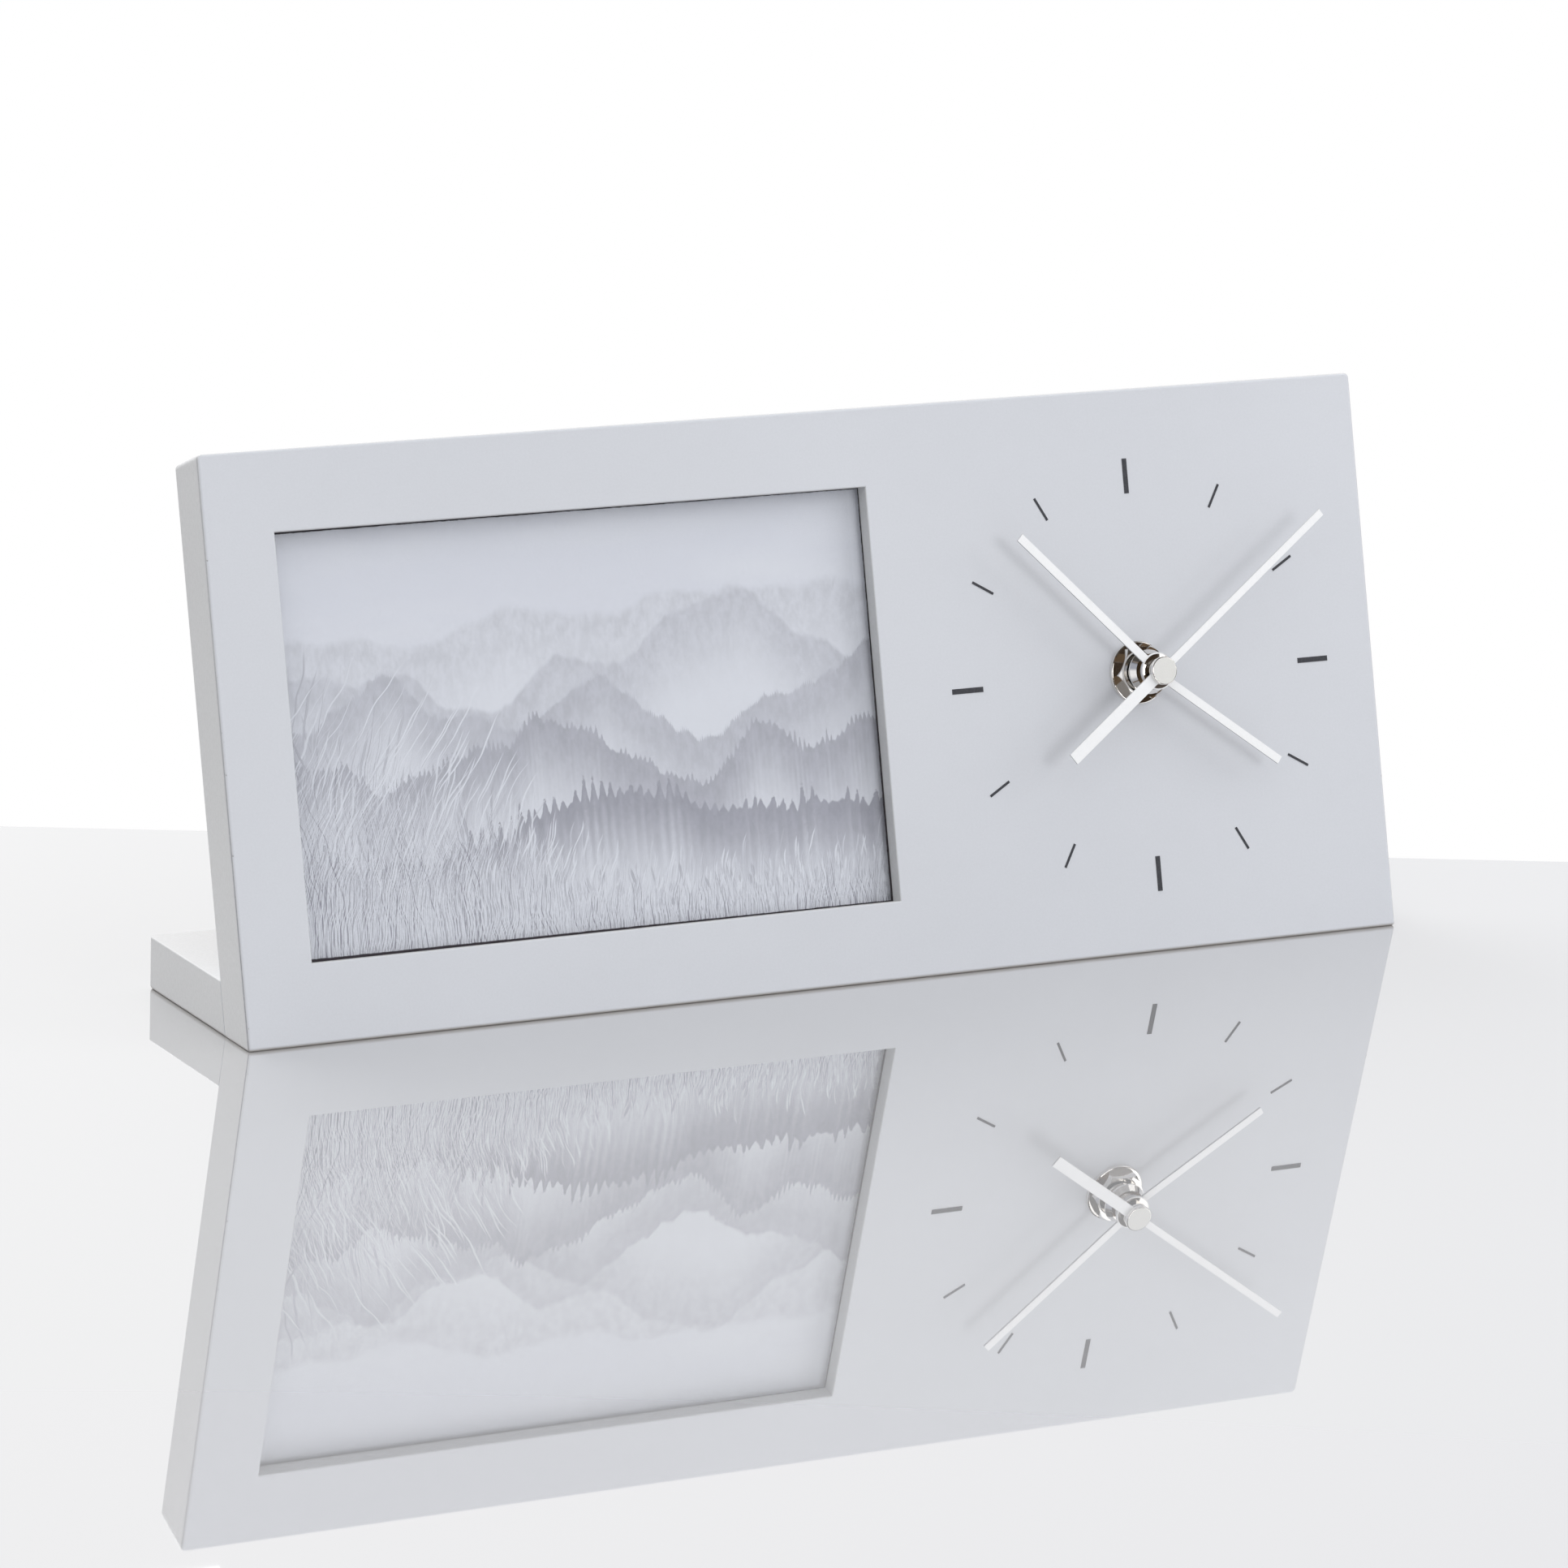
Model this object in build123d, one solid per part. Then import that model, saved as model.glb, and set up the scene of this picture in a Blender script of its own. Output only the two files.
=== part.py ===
from build123d import *
import os
from math import cos, pi, radians, sin, sqrt, tan

# A desk clock with a picture frame: an upright board leans back on a base board, with a framed
# print on its left and a quartz clock on its right. Millimetres and degrees.

# Boards
panel_thickness = 12.0
panel_tilt = 14.7
panel_top_drop = 1.5
panel_corner_radius = 1.2
panel_edge_radius = 0.7
base_depth = 53.0
base_thickness = 11.5
base_corner_radius = 1.0
base_edge_radius = 0.3
base_foot_radius = 0.8

# Window and the frame pack behind it
border_left = 16.0
border_top = 17.4
lip_side = 5.3
lip_bottom = 1.86
lip_top = 8.24
window_edge_radius = 0.35
lip_thickness = 3.5
rebate_gap_above_base = 0.3
print_width = 150.0
print_height = 100.0
print_thickness = 0.3
glass_thickness = 2.0
card_thickness = 3.0
backing_thickness = 3.0
glass_to_print_gap = 0.05
pack_clearance = 0.5
rebate_corner_radius = 0.4
backing_corner_radius = 2.0

# Turn buttons that hold the backing board
button_length = 20.0
button_width = 7.0
button_thickness = 1.0
button_tail = 4.5
button_offset = 4.8
button_end_height = 22.0
button_seat_gap = 0.25
screw_shank_radius = 1.25
screw_length = 8.0
screw_head_radius = 2.6
screw_head_height = 1.3
screw_slot_width = 0.6
screw_slot_depth = 0.5

# Dowels that join the boards
dowel_radius = 3.0
dowel_in_panel = 7.0
dowel_in_base = 12.0
dowel_height = 7.2
dowel_spacing = 100.0
dowel_end_gap = 0.3

# Place of the clock on the board
shaft_from_window = 63.6
shaft_from_right = 61.0
shaft_above_edge = 61.8
dial_offset_right = 1.2
dial_offset_down = 0.6
mark_thickness = 0.1
quarter_mark_outer = 47.8
quarter_mark_length = 7.7
quarter_mark_width = 1.15
hour_mark_outer = 46.8
hour_mark_length = 5.7
hour_mark_width = 0.55

# Hands
hand_thickness = 0.45
hour_hand_length = 37.1
hour_hand_width = 1.85
hour_hand_angle = 126.5
hour_disc_radius = 3.5
hour_hub_radius = 4.9
hour_hub_rim = 0.65
hour_shelf_radius = 3.95
hour_shelf_height = 1.86
hour_neck_radius = 3.1
minute_hand_length = 44.7
minute_hand_width = 1.9
minute_hand_angle = 315.0
minute_disc_radius = 4.1
minute_hub_radius = 2.4
minute_cap_radius = 3.8
minute_cap_height = 0.45
minute_cap_rim = 0.12
minute_cap_flat_radius = 2.0
second_hand_length = 54.2
second_hand_width = 1.65
second_tail_length = 29.75
second_tail_width = 2.75
second_hand_angle = 54.0
second_hand_thickness = 0.35
second_disc_radius = 2.9
second_hub_radius = 1.5
second_flange_radius = 3.05
second_flange_height = 0.4
cap_radius = 3.1
cap_height = 0.95
cap_edge_radius = 0.2

# Heights of the hands' front faces above the board
hour_hand_front = 7.95
minute_hand_front = 9.2
second_hand_front = 11.25
hour_hub_height = 2.8
minute_hub_height = 0.6

# Fixing of the movement
web_thickness = 6.0
shaft_hole_clearance = 0.3
rubber_thickness = 0.8
rubber_outer_radius = 10.0
rubber_hole_clearance = 0.2
bush_radius = 3.9
bush_flange_radius = 5.5
bush_flange_thickness = 0.7
bush_front = 4.3
thread_pitch = 0.75
thread_depth = 0.35
thread_start = 1.0
washer_radius = 6.95
washer_thickness = 0.9
washer_edge_radius = 0.35
nut_across_flats = 11.0
nut_thickness = 2.6
nut_chamfer = 0.7
fit_clearance = 0.02
running_clearance = 0.07

# Movement case
case_side = 56.0
case_wall = 1.2
case_corner_radius = 3.0
case_edge_radius = 0.6
pocket_clearance = 1.0
bay_wall = 1.2
cover_thickness = 1.2
cover_clearance = 0.1
cover_rim_height = 1.2
cover_rim_wall = 0.9
post_radius = 2.2
post_inset = 5.0
plate_thickness = 1.0
plate_front_depth = 4.6
plate_clearance = 0.2
pivot_depth = 0.5
pivot_end_gap = 0.2

# Wheels: tooth numbers and modules
cannon_teeth = 12
motion_teeth = 36
motion_pinion_teeth = 10
hour_teeth = 40
hour_module = 0.4
second_pinion_teeth = 8
third_teeth = 60
third_module = 0.26
third_pinion_teeth = 8
centre_teeth = 64
second_teeth = 60
intermediate_pinion_teeth = 10
second_module = 0.25
intermediate_teeth = 40
rotor_teeth = 8
rotor_module = 0.3
motion_direction = 170.0
third_direction = -10.0
intermediate_direction = 90.0
rotor_direction = 40.0
addendum_share = 0.75
dedendum_share = 1.15
tooth_root_share = 0.25
tooth_tip_share = 0.11

# Wheel thicknesses and the gaps between their levels, from the case front back
wheel_thickness = 0.8
pinion_overlap = 0.1
hour_wheel_gap = 0.45
motion_level_gap = 0.4
centre_level_gap = 0.5
third_level_gap = 0.8
second_level_gap = 0.5
rotor_level_depth = 11.5

# Arbors
hour_pipe_radius = 2.55
minute_arbor_radius = 1.55
minute_hole_clearance = 0.2
second_arbor_radius = 0.5
minute_collar_radius = 1.95
third_arbor_radius = 0.6
intermediate_arbor_radius = 0.5
rotor_arbor_radius = 0.4
motion_arbor_radius = 1.0
wheel_hub_radius = 1.6

# Drive
magnet_radius = 2.6
magnet_length = 2.2
magnet_gap = 0.4
stator_thickness = 1.0
stator_depth = 9.2
stator_reach_left = 6.0
stator_reach_right = 20.0
stator_bottom = 9.9
stator_web_top = 17.4
stator_leg = 3.0
core_height = 2.0
core_centre = 22.4
coil_radius = 3.3
bobbin_wall = 0.5
bobbin_flange = 0.8
bobbin_flange_radius = 3.7
bobbin_gap = 0.3
board_far_side = 20.0
board_near_side = 7.5
board_bottom = 11.0
board_top = 26.0
board_thickness = 1.0
peg_radius = 0.9
peg_edge_gap = 0.8
chip_radius = 2.6
chip_height = 0.9
chip_edge_gap = 0.8
crystal_radius = 1.0
crystal_length = 6.0
crystal_edge_gap = 2.0
part_seat_gap = 0.05

# Battery and contacts
battery_radius = 7.05
battery_body_length = 49.0
battery_nub_radius = 2.7
battery_nub_length = 1.2
battery_edge_radius = 0.6
battery_floor_gap = 0.3
battery_rear_gap = 0.6
battery_side_gap = 0.75
contact_thickness = 0.35
contact_width = 8.0
contact_height = 11.0
contact_tongue_gap = 0.3

# Setting knob
knob_radius = 5.5
knob_height = 3.0
knob_gap = 0.4
knob_ridges = 24
knob_ridge_radius = 0.45
knob_edge_radius = 0.4

# Small details
panel_back_edge_radius = 0.25
dowel_end_radius = 2.5
notch_radius = 9.0
head_round_share = 0.7
hand_gap = 0.2
hour_spigot_radius = 2.85
minute_spigot_radius = 2.0
second_spigot_radius = 0.9
second_spigot_reach = 0.35
hub_edge_chamfer = 0.25
washer_hole_clearance = 0.15
nut_chamfer_reach = 0.6
nut_turn = 3.0
knob_skin = 0.5

# Cuts run past the face that they open by this much
overrun = 1.0

# Bores and spaces that follow what runs or lies in them
minute_bore_radius = second_arbor_radius + running_clearance
hour_pipe_bore_radius = minute_arbor_radius + running_clearance
bush_bore_radius = hour_pipe_radius + running_clearance
shaft_hole_radius = bush_radius + shaft_hole_clearance
rubber_hole_radius = bush_flange_radius + rubber_hole_clearance
bay_height = 2 * (battery_radius + battery_side_gap)
case_depth = case_wall + battery_floor_gap + 2 * battery_radius + battery_rear_gap
core_half = core_height / 2 + part_seat_gap
core_half_thickness = stator_thickness / 2 + part_seat_gap
bobbin_tube_radius = sqrt(core_half ** 2 + core_half_thickness ** 2) + bobbin_wall

# Levels along the clock's shaft, measured from the board's face, positive to the front
pocket_floor = -web_thickness
case_front = pocket_floor - rubber_thickness
case_floor = case_front - case_wall
case_rear = case_front - case_depth
cover_inside = case_rear + cover_thickness
hour_level = case_floor - hour_wheel_gap
motion_level = hour_level - wheel_thickness - motion_level_gap
centre_level = motion_level - wheel_thickness - centre_level_gap
plate_front = case_floor - plate_front_depth
plate_rear = plate_front - plate_thickness
third_level = plate_rear - third_level_gap
second_level = third_level - wheel_thickness - second_level_gap
rotor_level = case_floor - rotor_level_depth
stator_front = case_floor - stator_depth
stator_rear = stator_front - stator_thickness
washer_front = washer_thickness
nut_front = washer_front + nut_thickness
hour_disc_rear = hour_hand_front - hand_thickness
hour_hub_rear = hour_disc_rear - hour_hub_height
minute_disc_rear = minute_hand_front - hand_thickness
minute_hub_rear = minute_disc_rear - minute_hub_height
minute_cap_front = minute_hand_front + minute_cap_height
second_disc_rear = second_hand_front - second_hand_thickness
second_flange_rear = second_disc_rear - second_flange_height
second_hub_rear = minute_cap_front + hand_gap
cap_front = second_hand_front + cap_height

# Places on the board's face: along it from its middle, and up it from its lower edge
tilt = radians(panel_tilt)
base_line = (base_thickness + panel_thickness * sin(tilt)) / cos(tilt)
rebate_width = print_width + 2 * pack_clearance
rebate_height = print_height + 2 * pack_clearance
rebate_bottom = base_line + rebate_gap_above_base
rebate_top = rebate_bottom + rebate_height
window_width = print_width - 2 * lip_side
window_bottom = rebate_bottom + lip_bottom
window_top = rebate_bottom + print_height - lip_top
panel_height = window_top + border_top
panel_width = border_left + window_width + shaft_from_window + shaft_from_right
shaft_x = panel_width / 2 - shaft_from_right
window_x = border_left + window_width / 2 - panel_width / 2
panel_back = -panel_thickness
glass_rear = -lip_thickness - glass_thickness
print_front = glass_rear - glass_to_print_gap
print_rear = print_front - print_thickness
card_rear = print_rear - card_thickness
backing_rear = card_rear - backing_thickness
button_front = panel_back - button_seat_gap
button_rear = button_front - button_thickness
screw_seat = button_rear - running_clearance
dowel_line = (dowel_height + panel_thickness * sin(tilt)) / cos(tilt)
button_places = [
    (side * (rebate_width / 2 + button_offset) + window_x, height, side)
    for side in (-1, 1)
    for height in (rebate_top - button_end_height, rebate_bottom + button_end_height)
]
dowel_places = [-dowel_spacing, 0, dowel_spacing]

# Places in the movement, from the shaft: wheels stand at these points of the mesh circles
chamber_half = case_side / 2 - case_wall
bay_bottom = -chamber_half
bay_top = bay_bottom + bay_height
chamber_bottom = bay_top + bay_wall
post_side = chamber_half - post_inset + case_wall
post_places = [
    (side * post_side, height)
    for side in (-1, 1)
    for height in (chamber_bottom + post_inset - case_wall, post_side)
]
motion_distance = hour_module * (motion_pinion_teeth + hour_teeth) / 2
motion_module = 2 * motion_distance / (cannon_teeth + motion_teeth)
third_distance = third_module * (second_pinion_teeth + third_teeth) / 2
centre_module = 2 * third_distance / (third_pinion_teeth + centre_teeth)
intermediate_distance = second_module * (second_teeth + intermediate_pinion_teeth) / 2
rotor_distance = rotor_module * (intermediate_teeth + rotor_teeth) / 2
stator_left = -stator_reach_left
stator_right = stator_reach_right
board_left = -board_far_side
board_right = -board_near_side


def polar(distance, direction, start=(0, 0)):
    """The point at a distance and direction from a start point."""
    angle = radians(direction)
    return start[0] + distance * cos(angle), start[1] + distance * sin(angle)


shaft_at = (0, 0)
motion_at = polar(motion_distance, motion_direction)
third_at = polar(third_distance, third_direction)
intermediate_at = polar(intermediate_distance, intermediate_direction)
rotor_at = polar(rotor_distance, rotor_direction, intermediate_at)

# The face's own axes: x along the board, y up its face, z out of it to the front
face_plane = Plane(
    origin=(0, -base_depth / 2, 0),
    x_dir=(1, 0, 0),
    z_dir=(0, -cos(tilt), sin(tilt)),
)
shaft_plane = Plane(
    origin=face_plane.from_local_coords((shaft_x, shaft_above_edge, 0)),
    x_dir=face_plane.x_dir,
    z_dir=face_plane.z_dir,
)


def block(left, right, bottom, top, rear, front):
    """A box between six planes."""
    corner = (Align.MIN, Align.MIN, Align.MIN)
    return Pos(left, bottom, rear) * Box(right - left, top - bottom, front - rear, align=corner)


def rod(radius, front, rear, at=(0, 0)):
    """A round bar along the shaft, from its front end to its rear end."""
    seat = (Align.CENTER, Align.CENTER, Align.MIN)
    return Pos(at[0], at[1], rear) * Cylinder(radius, front - rear, align=seat)


def rounded_block(left, right, bottom, top, rear, front, radius):
    """A box whose four edges along the shaft are rounded."""
    body = block(left, right, bottom, top, rear, front)
    return fillet(body.edges().filter_by(Axis.Z), radius)


def turned(points):
    """A solid turned about the shaft from an outline of radius and height."""
    return revolve(Plane.XZ * make_face(Polyline(*points, close=True)), Axis.Z)


def cut_holes(body, holes):
    """The body less every hole in the list."""
    for hole in holes:
        body -= hole
    return body


def facing_tooth(direction):
    """Turn of a wheel that has a tooth in this direction."""
    return direction


def facing_gap(direction, teeth):
    """Turn of a wheel that has a gap in the opposite direction."""
    return direction + 180 + 180 / teeth


def toothed(teeth, module, turn, front, rear, at=(0, 0)):
    """A toothed disc with straight-flanked teeth, slim enough to run free."""
    tip = module * (teeth / 2 + addendum_share)
    root = module * (teeth / 2 - dedendum_share)
    step = 2 * pi / teeth
    corners = (
        (root, -tooth_root_share),
        (tip, -tooth_tip_share),
        (tip, tooth_tip_share),
        (root, tooth_root_share),
    )
    points = []
    for tooth in range(teeth):
        for radius, share in corners:
            angle = radians(turn) + (tooth + share) * step
            points.append((radius * cos(angle), radius * sin(angle)))
    outline = make_face(Polyline(*points, close=True))
    return Pos(at[0], at[1], rear) * extrude(outline, front - rear)


def wheel(teeth, module, turn, level, at):
    """A wheel of the usual thickness, whose front face is at a level."""
    return toothed(teeth, module, turn, level, level - wheel_thickness, at)


def pinion(teeth, module, turn, level, at):
    """A pinion that stands out a little at both sides of the wheel it drives."""
    front = level + pinion_overlap
    return toothed(teeth, module, turn, front, level - wheel_thickness - pinion_overlap, at)


def on_board(shape):
    """Places what is drawn on the board's own axes."""
    return face_plane.location * shape


def on_shaft(shape):
    """Places what is drawn on the clock's shaft."""
    return shaft_plane.location * shape


def group(solids):
    """One node made of several separate solids."""
    return Compound(children=list(solids))


# Boards


def panel_blank():
    """The leaning board before its holes: its foot and top are cut aslant."""
    foot = panel_thickness * tan(tilt)
    outline = Polyline(
        (0, 0),
        (panel_height, 0),
        (panel_height - panel_top_drop, panel_back),
        (foot, panel_back),
        close=True,
    )
    side = Plane.YZ.offset(-panel_width / 2)
    board = extrude(side * make_face(outline), panel_width)
    top_edges = board.faces().sort_by(Axis.Y)[-1].edges().sort_by(Axis.X)
    board = fillet([top_edges[0], top_edges[-1]], panel_corner_radius)
    foot_edges = board.faces().sort_by(Axis.Y)[0].edges().sort_by(Axis.X)
    face_edges = board.faces().sort_by(Axis.Z)[-1].edges()
    board = fillet([*face_edges, foot_edges[0], foot_edges[-1]], panel_edge_radius)
    back = board.faces().sort_by(Axis.Z)[0].edges()
    return fillet(back.sort_by(Axis.Y)[1:], panel_back_edge_radius)


def window_opening():
    """The window through the lip at the front."""
    half = window_width / 2
    sides = (window_x - half, window_x + half, window_bottom, window_top)
    return block(*sides, panel_back, overrun)


def rebate():
    """The step behind the window that takes glass, print, card and backing."""
    half = rebate_width / 2
    sides = (window_x - half, window_x + half, rebate_bottom, rebate_top)
    return rounded_block(*sides, panel_back - overrun, -lip_thickness, rebate_corner_radius)


def movement_pocket():
    """The pocket in the board's back that the movement sits in."""
    half = case_side / 2 + pocket_clearance
    x, y = shaft_x, shaft_above_edge
    sides = (x - half, x + half, y - half, y + half)
    corner = case_corner_radius + pocket_clearance
    return rounded_block(*sides, panel_back - overrun, pocket_floor, corner)


def dowel_hole(x, front, rear):
    """A blind hole for one dowel."""
    return rod(dowel_radius + fit_clearance, front, rear, (x, dowel_line))


def front_panel():
    """The leaning board: window, rebate, pocket, shaft hole, dowel and screw holes."""
    board = panel_blank() - window_opening()
    face = board.faces().sort_by(Axis.Z)[-1]
    board = fillet(face.inner_wires()[0].edges(), window_edge_radius)
    dowel_front = panel_back + dowel_in_panel + dowel_end_gap
    screw_end = screw_seat + screw_length + dowel_end_gap
    holes = [rebate(), movement_pocket()]
    holes.append(rod(shaft_hole_radius, overrun, panel_back, (shaft_x, shaft_above_edge)))
    holes += [dowel_hole(x, dowel_front, panel_back - overrun) for x in dowel_places]
    for x, y, side in button_places:
        holes.append(rod(screw_shank_radius + fit_clearance, screw_end, panel_back - overrun, (x, y)))
    return on_board(cut_holes(board, holes))


def base_board():
    """The board that lies on the table, butted against the back of the panel."""
    rear = base_depth / 2
    front = panel_thickness / cos(tilt) - base_depth / 2
    front_top = front + base_thickness * tan(tilt)
    outline = Polyline(
        (front, 0), (front_top, base_thickness), (rear, base_thickness), (rear, 0), close=True
    )
    side = Plane.YZ.offset(-panel_width / 2)
    board = extrude(side * make_face(outline), panel_width)
    rear_corners = board.faces().sort_by(Axis.Y)[-1].edges().filter_by(Axis.Z)
    board = fillet(rear_corners, base_corner_radius)
    upper_edges = board.faces().sort_by(Axis.Z)[-1].edges().sort_by(Axis.Y)
    board = fillet(upper_edges[1:], base_edge_radius)
    foot_edges = board.faces().sort_by(Axis.Z)[0].edges().sort_by(Axis.Y)
    board = fillet(foot_edges[1:], base_foot_radius)
    rear_end = panel_back - dowel_in_base - dowel_end_gap
    holes = [on_board(dowel_hole(x, panel_back + overrun, rear_end)) for x in dowel_places]
    return cut_holes(board, holes)


def base_dowels():
    """Three hidden dowels across the joint of the two boards."""
    front = panel_back + dowel_in_panel
    rear = panel_back - dowel_in_base
    chamfer_size = dowel_radius - dowel_end_radius
    dowels = []
    for x in dowel_places:
        pin = rod(dowel_radius, front, rear, (x, dowel_line))
        dowels.append(chamfer(pin.edges().filter_by(GeomType.CIRCLE), chamfer_size))
    return group(on_board(pin) for pin in dowels)


# Frame pack


def pack_sheet(rear, front):
    """One sheet of the pack, standing on the rebate's lower side."""
    half = print_width / 2
    left, right = window_x - half, window_x + half
    return block(left, right, rebate_bottom, rebate_bottom + print_height, rear, front)


def window_glass():
    """The pane against the back of the lip."""
    return on_board(pack_sheet(glass_rear, -lip_thickness))


def photo_print():
    """The print behind the glass."""
    return on_board(pack_sheet(print_rear, print_front))


def filler_card():
    """The card that fills the rebate behind the print."""
    return on_board(pack_sheet(card_rear, print_rear))


def backing_board():
    """The hardboard back, with a finger notch in its upper edge."""
    board = pack_sheet(backing_rear, card_rear)
    board = fillet(board.edges().filter_by(Axis.Z), backing_corner_radius)
    top = rebate_bottom + print_height
    notch = rod(notch_radius, card_rear + overrun, backing_rear - overrun, (window_x, top))
    return on_board(board - notch)


def turn_button(x, y, side):
    """A flat plate that turns on its screw and points over the backing board."""
    middle = button_length / 2 - button_tail
    outline = Pos(-side * middle, 0) * SlotOverall(button_length, button_width)
    plate = Pos(x, y, button_rear) * extrude(outline, button_thickness)
    hole_radius = screw_shank_radius + running_clearance
    hole = rod(hole_radius, button_front + overrun, button_rear - overrun, (x, y))
    return on_board(plate - hole)


def turn_button_screw(x, y):
    """A slotted round-head screw."""
    head_rear = screw_seat - screw_head_height
    shank = rod(screw_shank_radius, screw_seat + screw_length, screw_seat, (x, y))
    head = rod(screw_head_radius, screw_seat, head_rear, (x, y))
    rim = head.edges().filter_by(GeomType.CIRCLE).sort_by(Axis.Z)[0]
    head = fillet(rim, screw_head_height * head_round_share)
    half = screw_slot_width / 2
    reach = screw_head_radius + overrun
    slot_front = head_rear + screw_slot_depth
    slot = block(x - reach, x + reach, y - half, y + half, head_rear - overrun, slot_front)
    return on_board(shank + head - slot)


def turn_button_screws():
    """The four screws that the buttons turn on."""
    return group(turn_button_screw(x, y) for x, y, side in button_places)


# Dial and hands


def hour_marks():
    """Twelve painted bars on the face: four broad ones and eight fine ones."""
    centre_x = shaft_x + dial_offset_right
    centre_y = shaft_above_edge - dial_offset_down
    marks = []
    for hour in range(12):
        broad = hour % 3 == 0
        outer = quarter_mark_outer if broad else hour_mark_outer
        length = quarter_mark_length if broad else hour_mark_length
        width = quarter_mark_width if broad else hour_mark_width
        bar = Pos(0, outer - length / 2) * Rectangle(width, length)
        mark = extrude(Rot(0, 0, -hour * 30) * bar, mark_thickness)
        marks.append(on_board(Pos(centre_x, centre_y) * mark))
    return group(marks)


def hand_plate(arms, disc_radius, hole_radius, angle, rear, thickness):
    """A flat hand: a disc with one or two straight arms, turned to its angle."""
    outline = Circle(disc_radius)
    for length, width, way in arms:
        outline += Pos(0, way * length / 2) * Rectangle(width, length)
    outline -= Circle(hole_radius)
    return on_shaft(Pos(0, 0, rear) * extrude(Rot(0, 0, -angle) * outline, thickness))


def hour_hand():
    """The shorter hand, nearest the board."""
    arms = [(hour_hand_length, hour_hand_width, 1)]
    hole = hour_spigot_radius + fit_clearance
    size = (hour_disc_radius, hole, hour_hand_angle, hour_disc_rear, hand_thickness)
    return hand_plate(arms, *size)


def hour_hub():
    """The polished collar under the hour hand: a coned skirt and a neck, pressed on the pipe."""
    bore = hour_pipe_radius + fit_clearance
    edge = hub_edge_chamfer
    shelf = hour_hub_rear + hour_shelf_height
    points = [
        (bore, hour_hub_rear),
        (hour_hub_radius - edge, hour_hub_rear),
        (hour_hub_radius, hour_hub_rear + edge),
        (hour_hub_radius, hour_hub_rear + hour_hub_rim),
        (hour_shelf_radius, shelf),
        (hour_neck_radius, shelf),
        (hour_neck_radius, hour_disc_rear),
        (hour_spigot_radius, hour_disc_rear),
        (hour_spigot_radius, hour_hand_front),
        (bore, hour_hand_front),
    ]
    return on_shaft(turned(points))


def minute_hand():
    """The longer hand."""
    arms = [(minute_hand_length, minute_hand_width, 1)]
    hole = minute_spigot_radius + fit_clearance
    size = (minute_disc_radius, hole, minute_hand_angle, minute_disc_rear, hand_thickness)
    return hand_plate(arms, *size)


def minute_hub():
    """The polished collar riveted through the minute hand, with its low domed front flange."""
    bore = minute_arbor_radius + fit_clearance
    hole = second_arbor_radius + minute_hole_clearance
    points = [
        (bore, minute_hub_rear),
        (minute_hub_radius, minute_hub_rear),
        (minute_hub_radius, minute_disc_rear),
        (minute_spigot_radius, minute_disc_rear),
        (minute_spigot_radius, minute_hand_front),
        (minute_cap_radius, minute_hand_front),
        (minute_cap_radius, minute_hand_front + minute_cap_rim),
        (minute_cap_flat_radius, minute_cap_front),
        (hole, minute_cap_front),
        (hole, minute_hand_front),
        (bore, minute_hand_front),
    ]
    return on_shaft(turned(points))


def second_hand():
    """The sweep hand: a slim arm and a shorter, broader tail."""
    arms = [
        (second_hand_length, second_hand_width, 1),
        (second_tail_length, second_tail_width, -1),
    ]
    hole = second_spigot_radius + fit_clearance
    size = (second_disc_radius, hole, second_hand_angle, second_disc_rear, second_hand_thickness)
    return hand_plate(arms, *size)


def second_hub():
    """The stem and flange that carry the sweep hand, pressed on the seconds arbor."""
    bore = second_arbor_radius + fit_clearance
    bore_end = second_disc_rear
    spigot_front = second_hand_front + second_spigot_reach
    points = [
        (bore, second_hub_rear),
        (second_hub_radius, second_hub_rear),
        (second_hub_radius, second_flange_rear),
        (second_flange_radius, second_flange_rear),
        (second_flange_radius, second_disc_rear),
        (second_spigot_radius, second_disc_rear),
        (second_spigot_radius, spigot_front),
        (0, spigot_front),
        (0, bore_end),
        (bore, bore_end),
    ]
    return on_shaft(turned(points))


def hand_cap():
    """The round cap in front of the hands."""
    body = rod(cap_radius, cap_front, second_hand_front)
    rim = body.edges().filter_by(GeomType.CIRCLE).sort_by(Axis.Z)[-1]
    body = fillet(rim, cap_edge_radius)
    socket_front = second_hand_front + second_spigot_reach + fit_clearance
    socket = rod(second_spigot_radius + fit_clearance, socket_front, second_hand_front - overrun)
    return on_shaft(body - socket)


# Fixing of the movement


def threaded_bush():
    """The threaded tube that the movement is clamped by, its thread drawn as rings."""
    points = [
        (bush_bore_radius, case_floor),
        (bush_radius, case_floor),
        (bush_radius, case_front),
        (bush_flange_radius, case_front),
        (bush_flange_radius, case_front + bush_flange_thickness),
        (bush_radius, case_front + bush_flange_thickness),
    ]
    turns = int((bush_front - thread_start) / thread_pitch)
    for turn in range(turns):
        rear = bush_front - (turns - turn) * thread_pitch
        points.append((bush_radius, rear))
        points.append((bush_radius - thread_depth, rear + thread_pitch / 2))
    points.append((bush_radius - thread_depth / 2, bush_front))
    points.append((bush_bore_radius, bush_front))
    return on_shaft(turned(points))


def rubber_washer():
    """The soft ring between the movement and the board."""
    ring = rod(rubber_outer_radius, pocket_floor, case_front)
    return on_shaft(ring - rod(rubber_hole_radius, pocket_floor, case_front))


def face_washer():
    """The polished washer on the board's face."""
    ring = rod(washer_radius, washer_front, 0)
    rim = ring.edges().filter_by(GeomType.CIRCLE).sort_by(Axis.Z)[-1]
    ring = fillet(rim, washer_edge_radius)
    return on_shaft(ring - rod(bush_radius + washer_hole_clearance, washer_front, 0))


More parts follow.
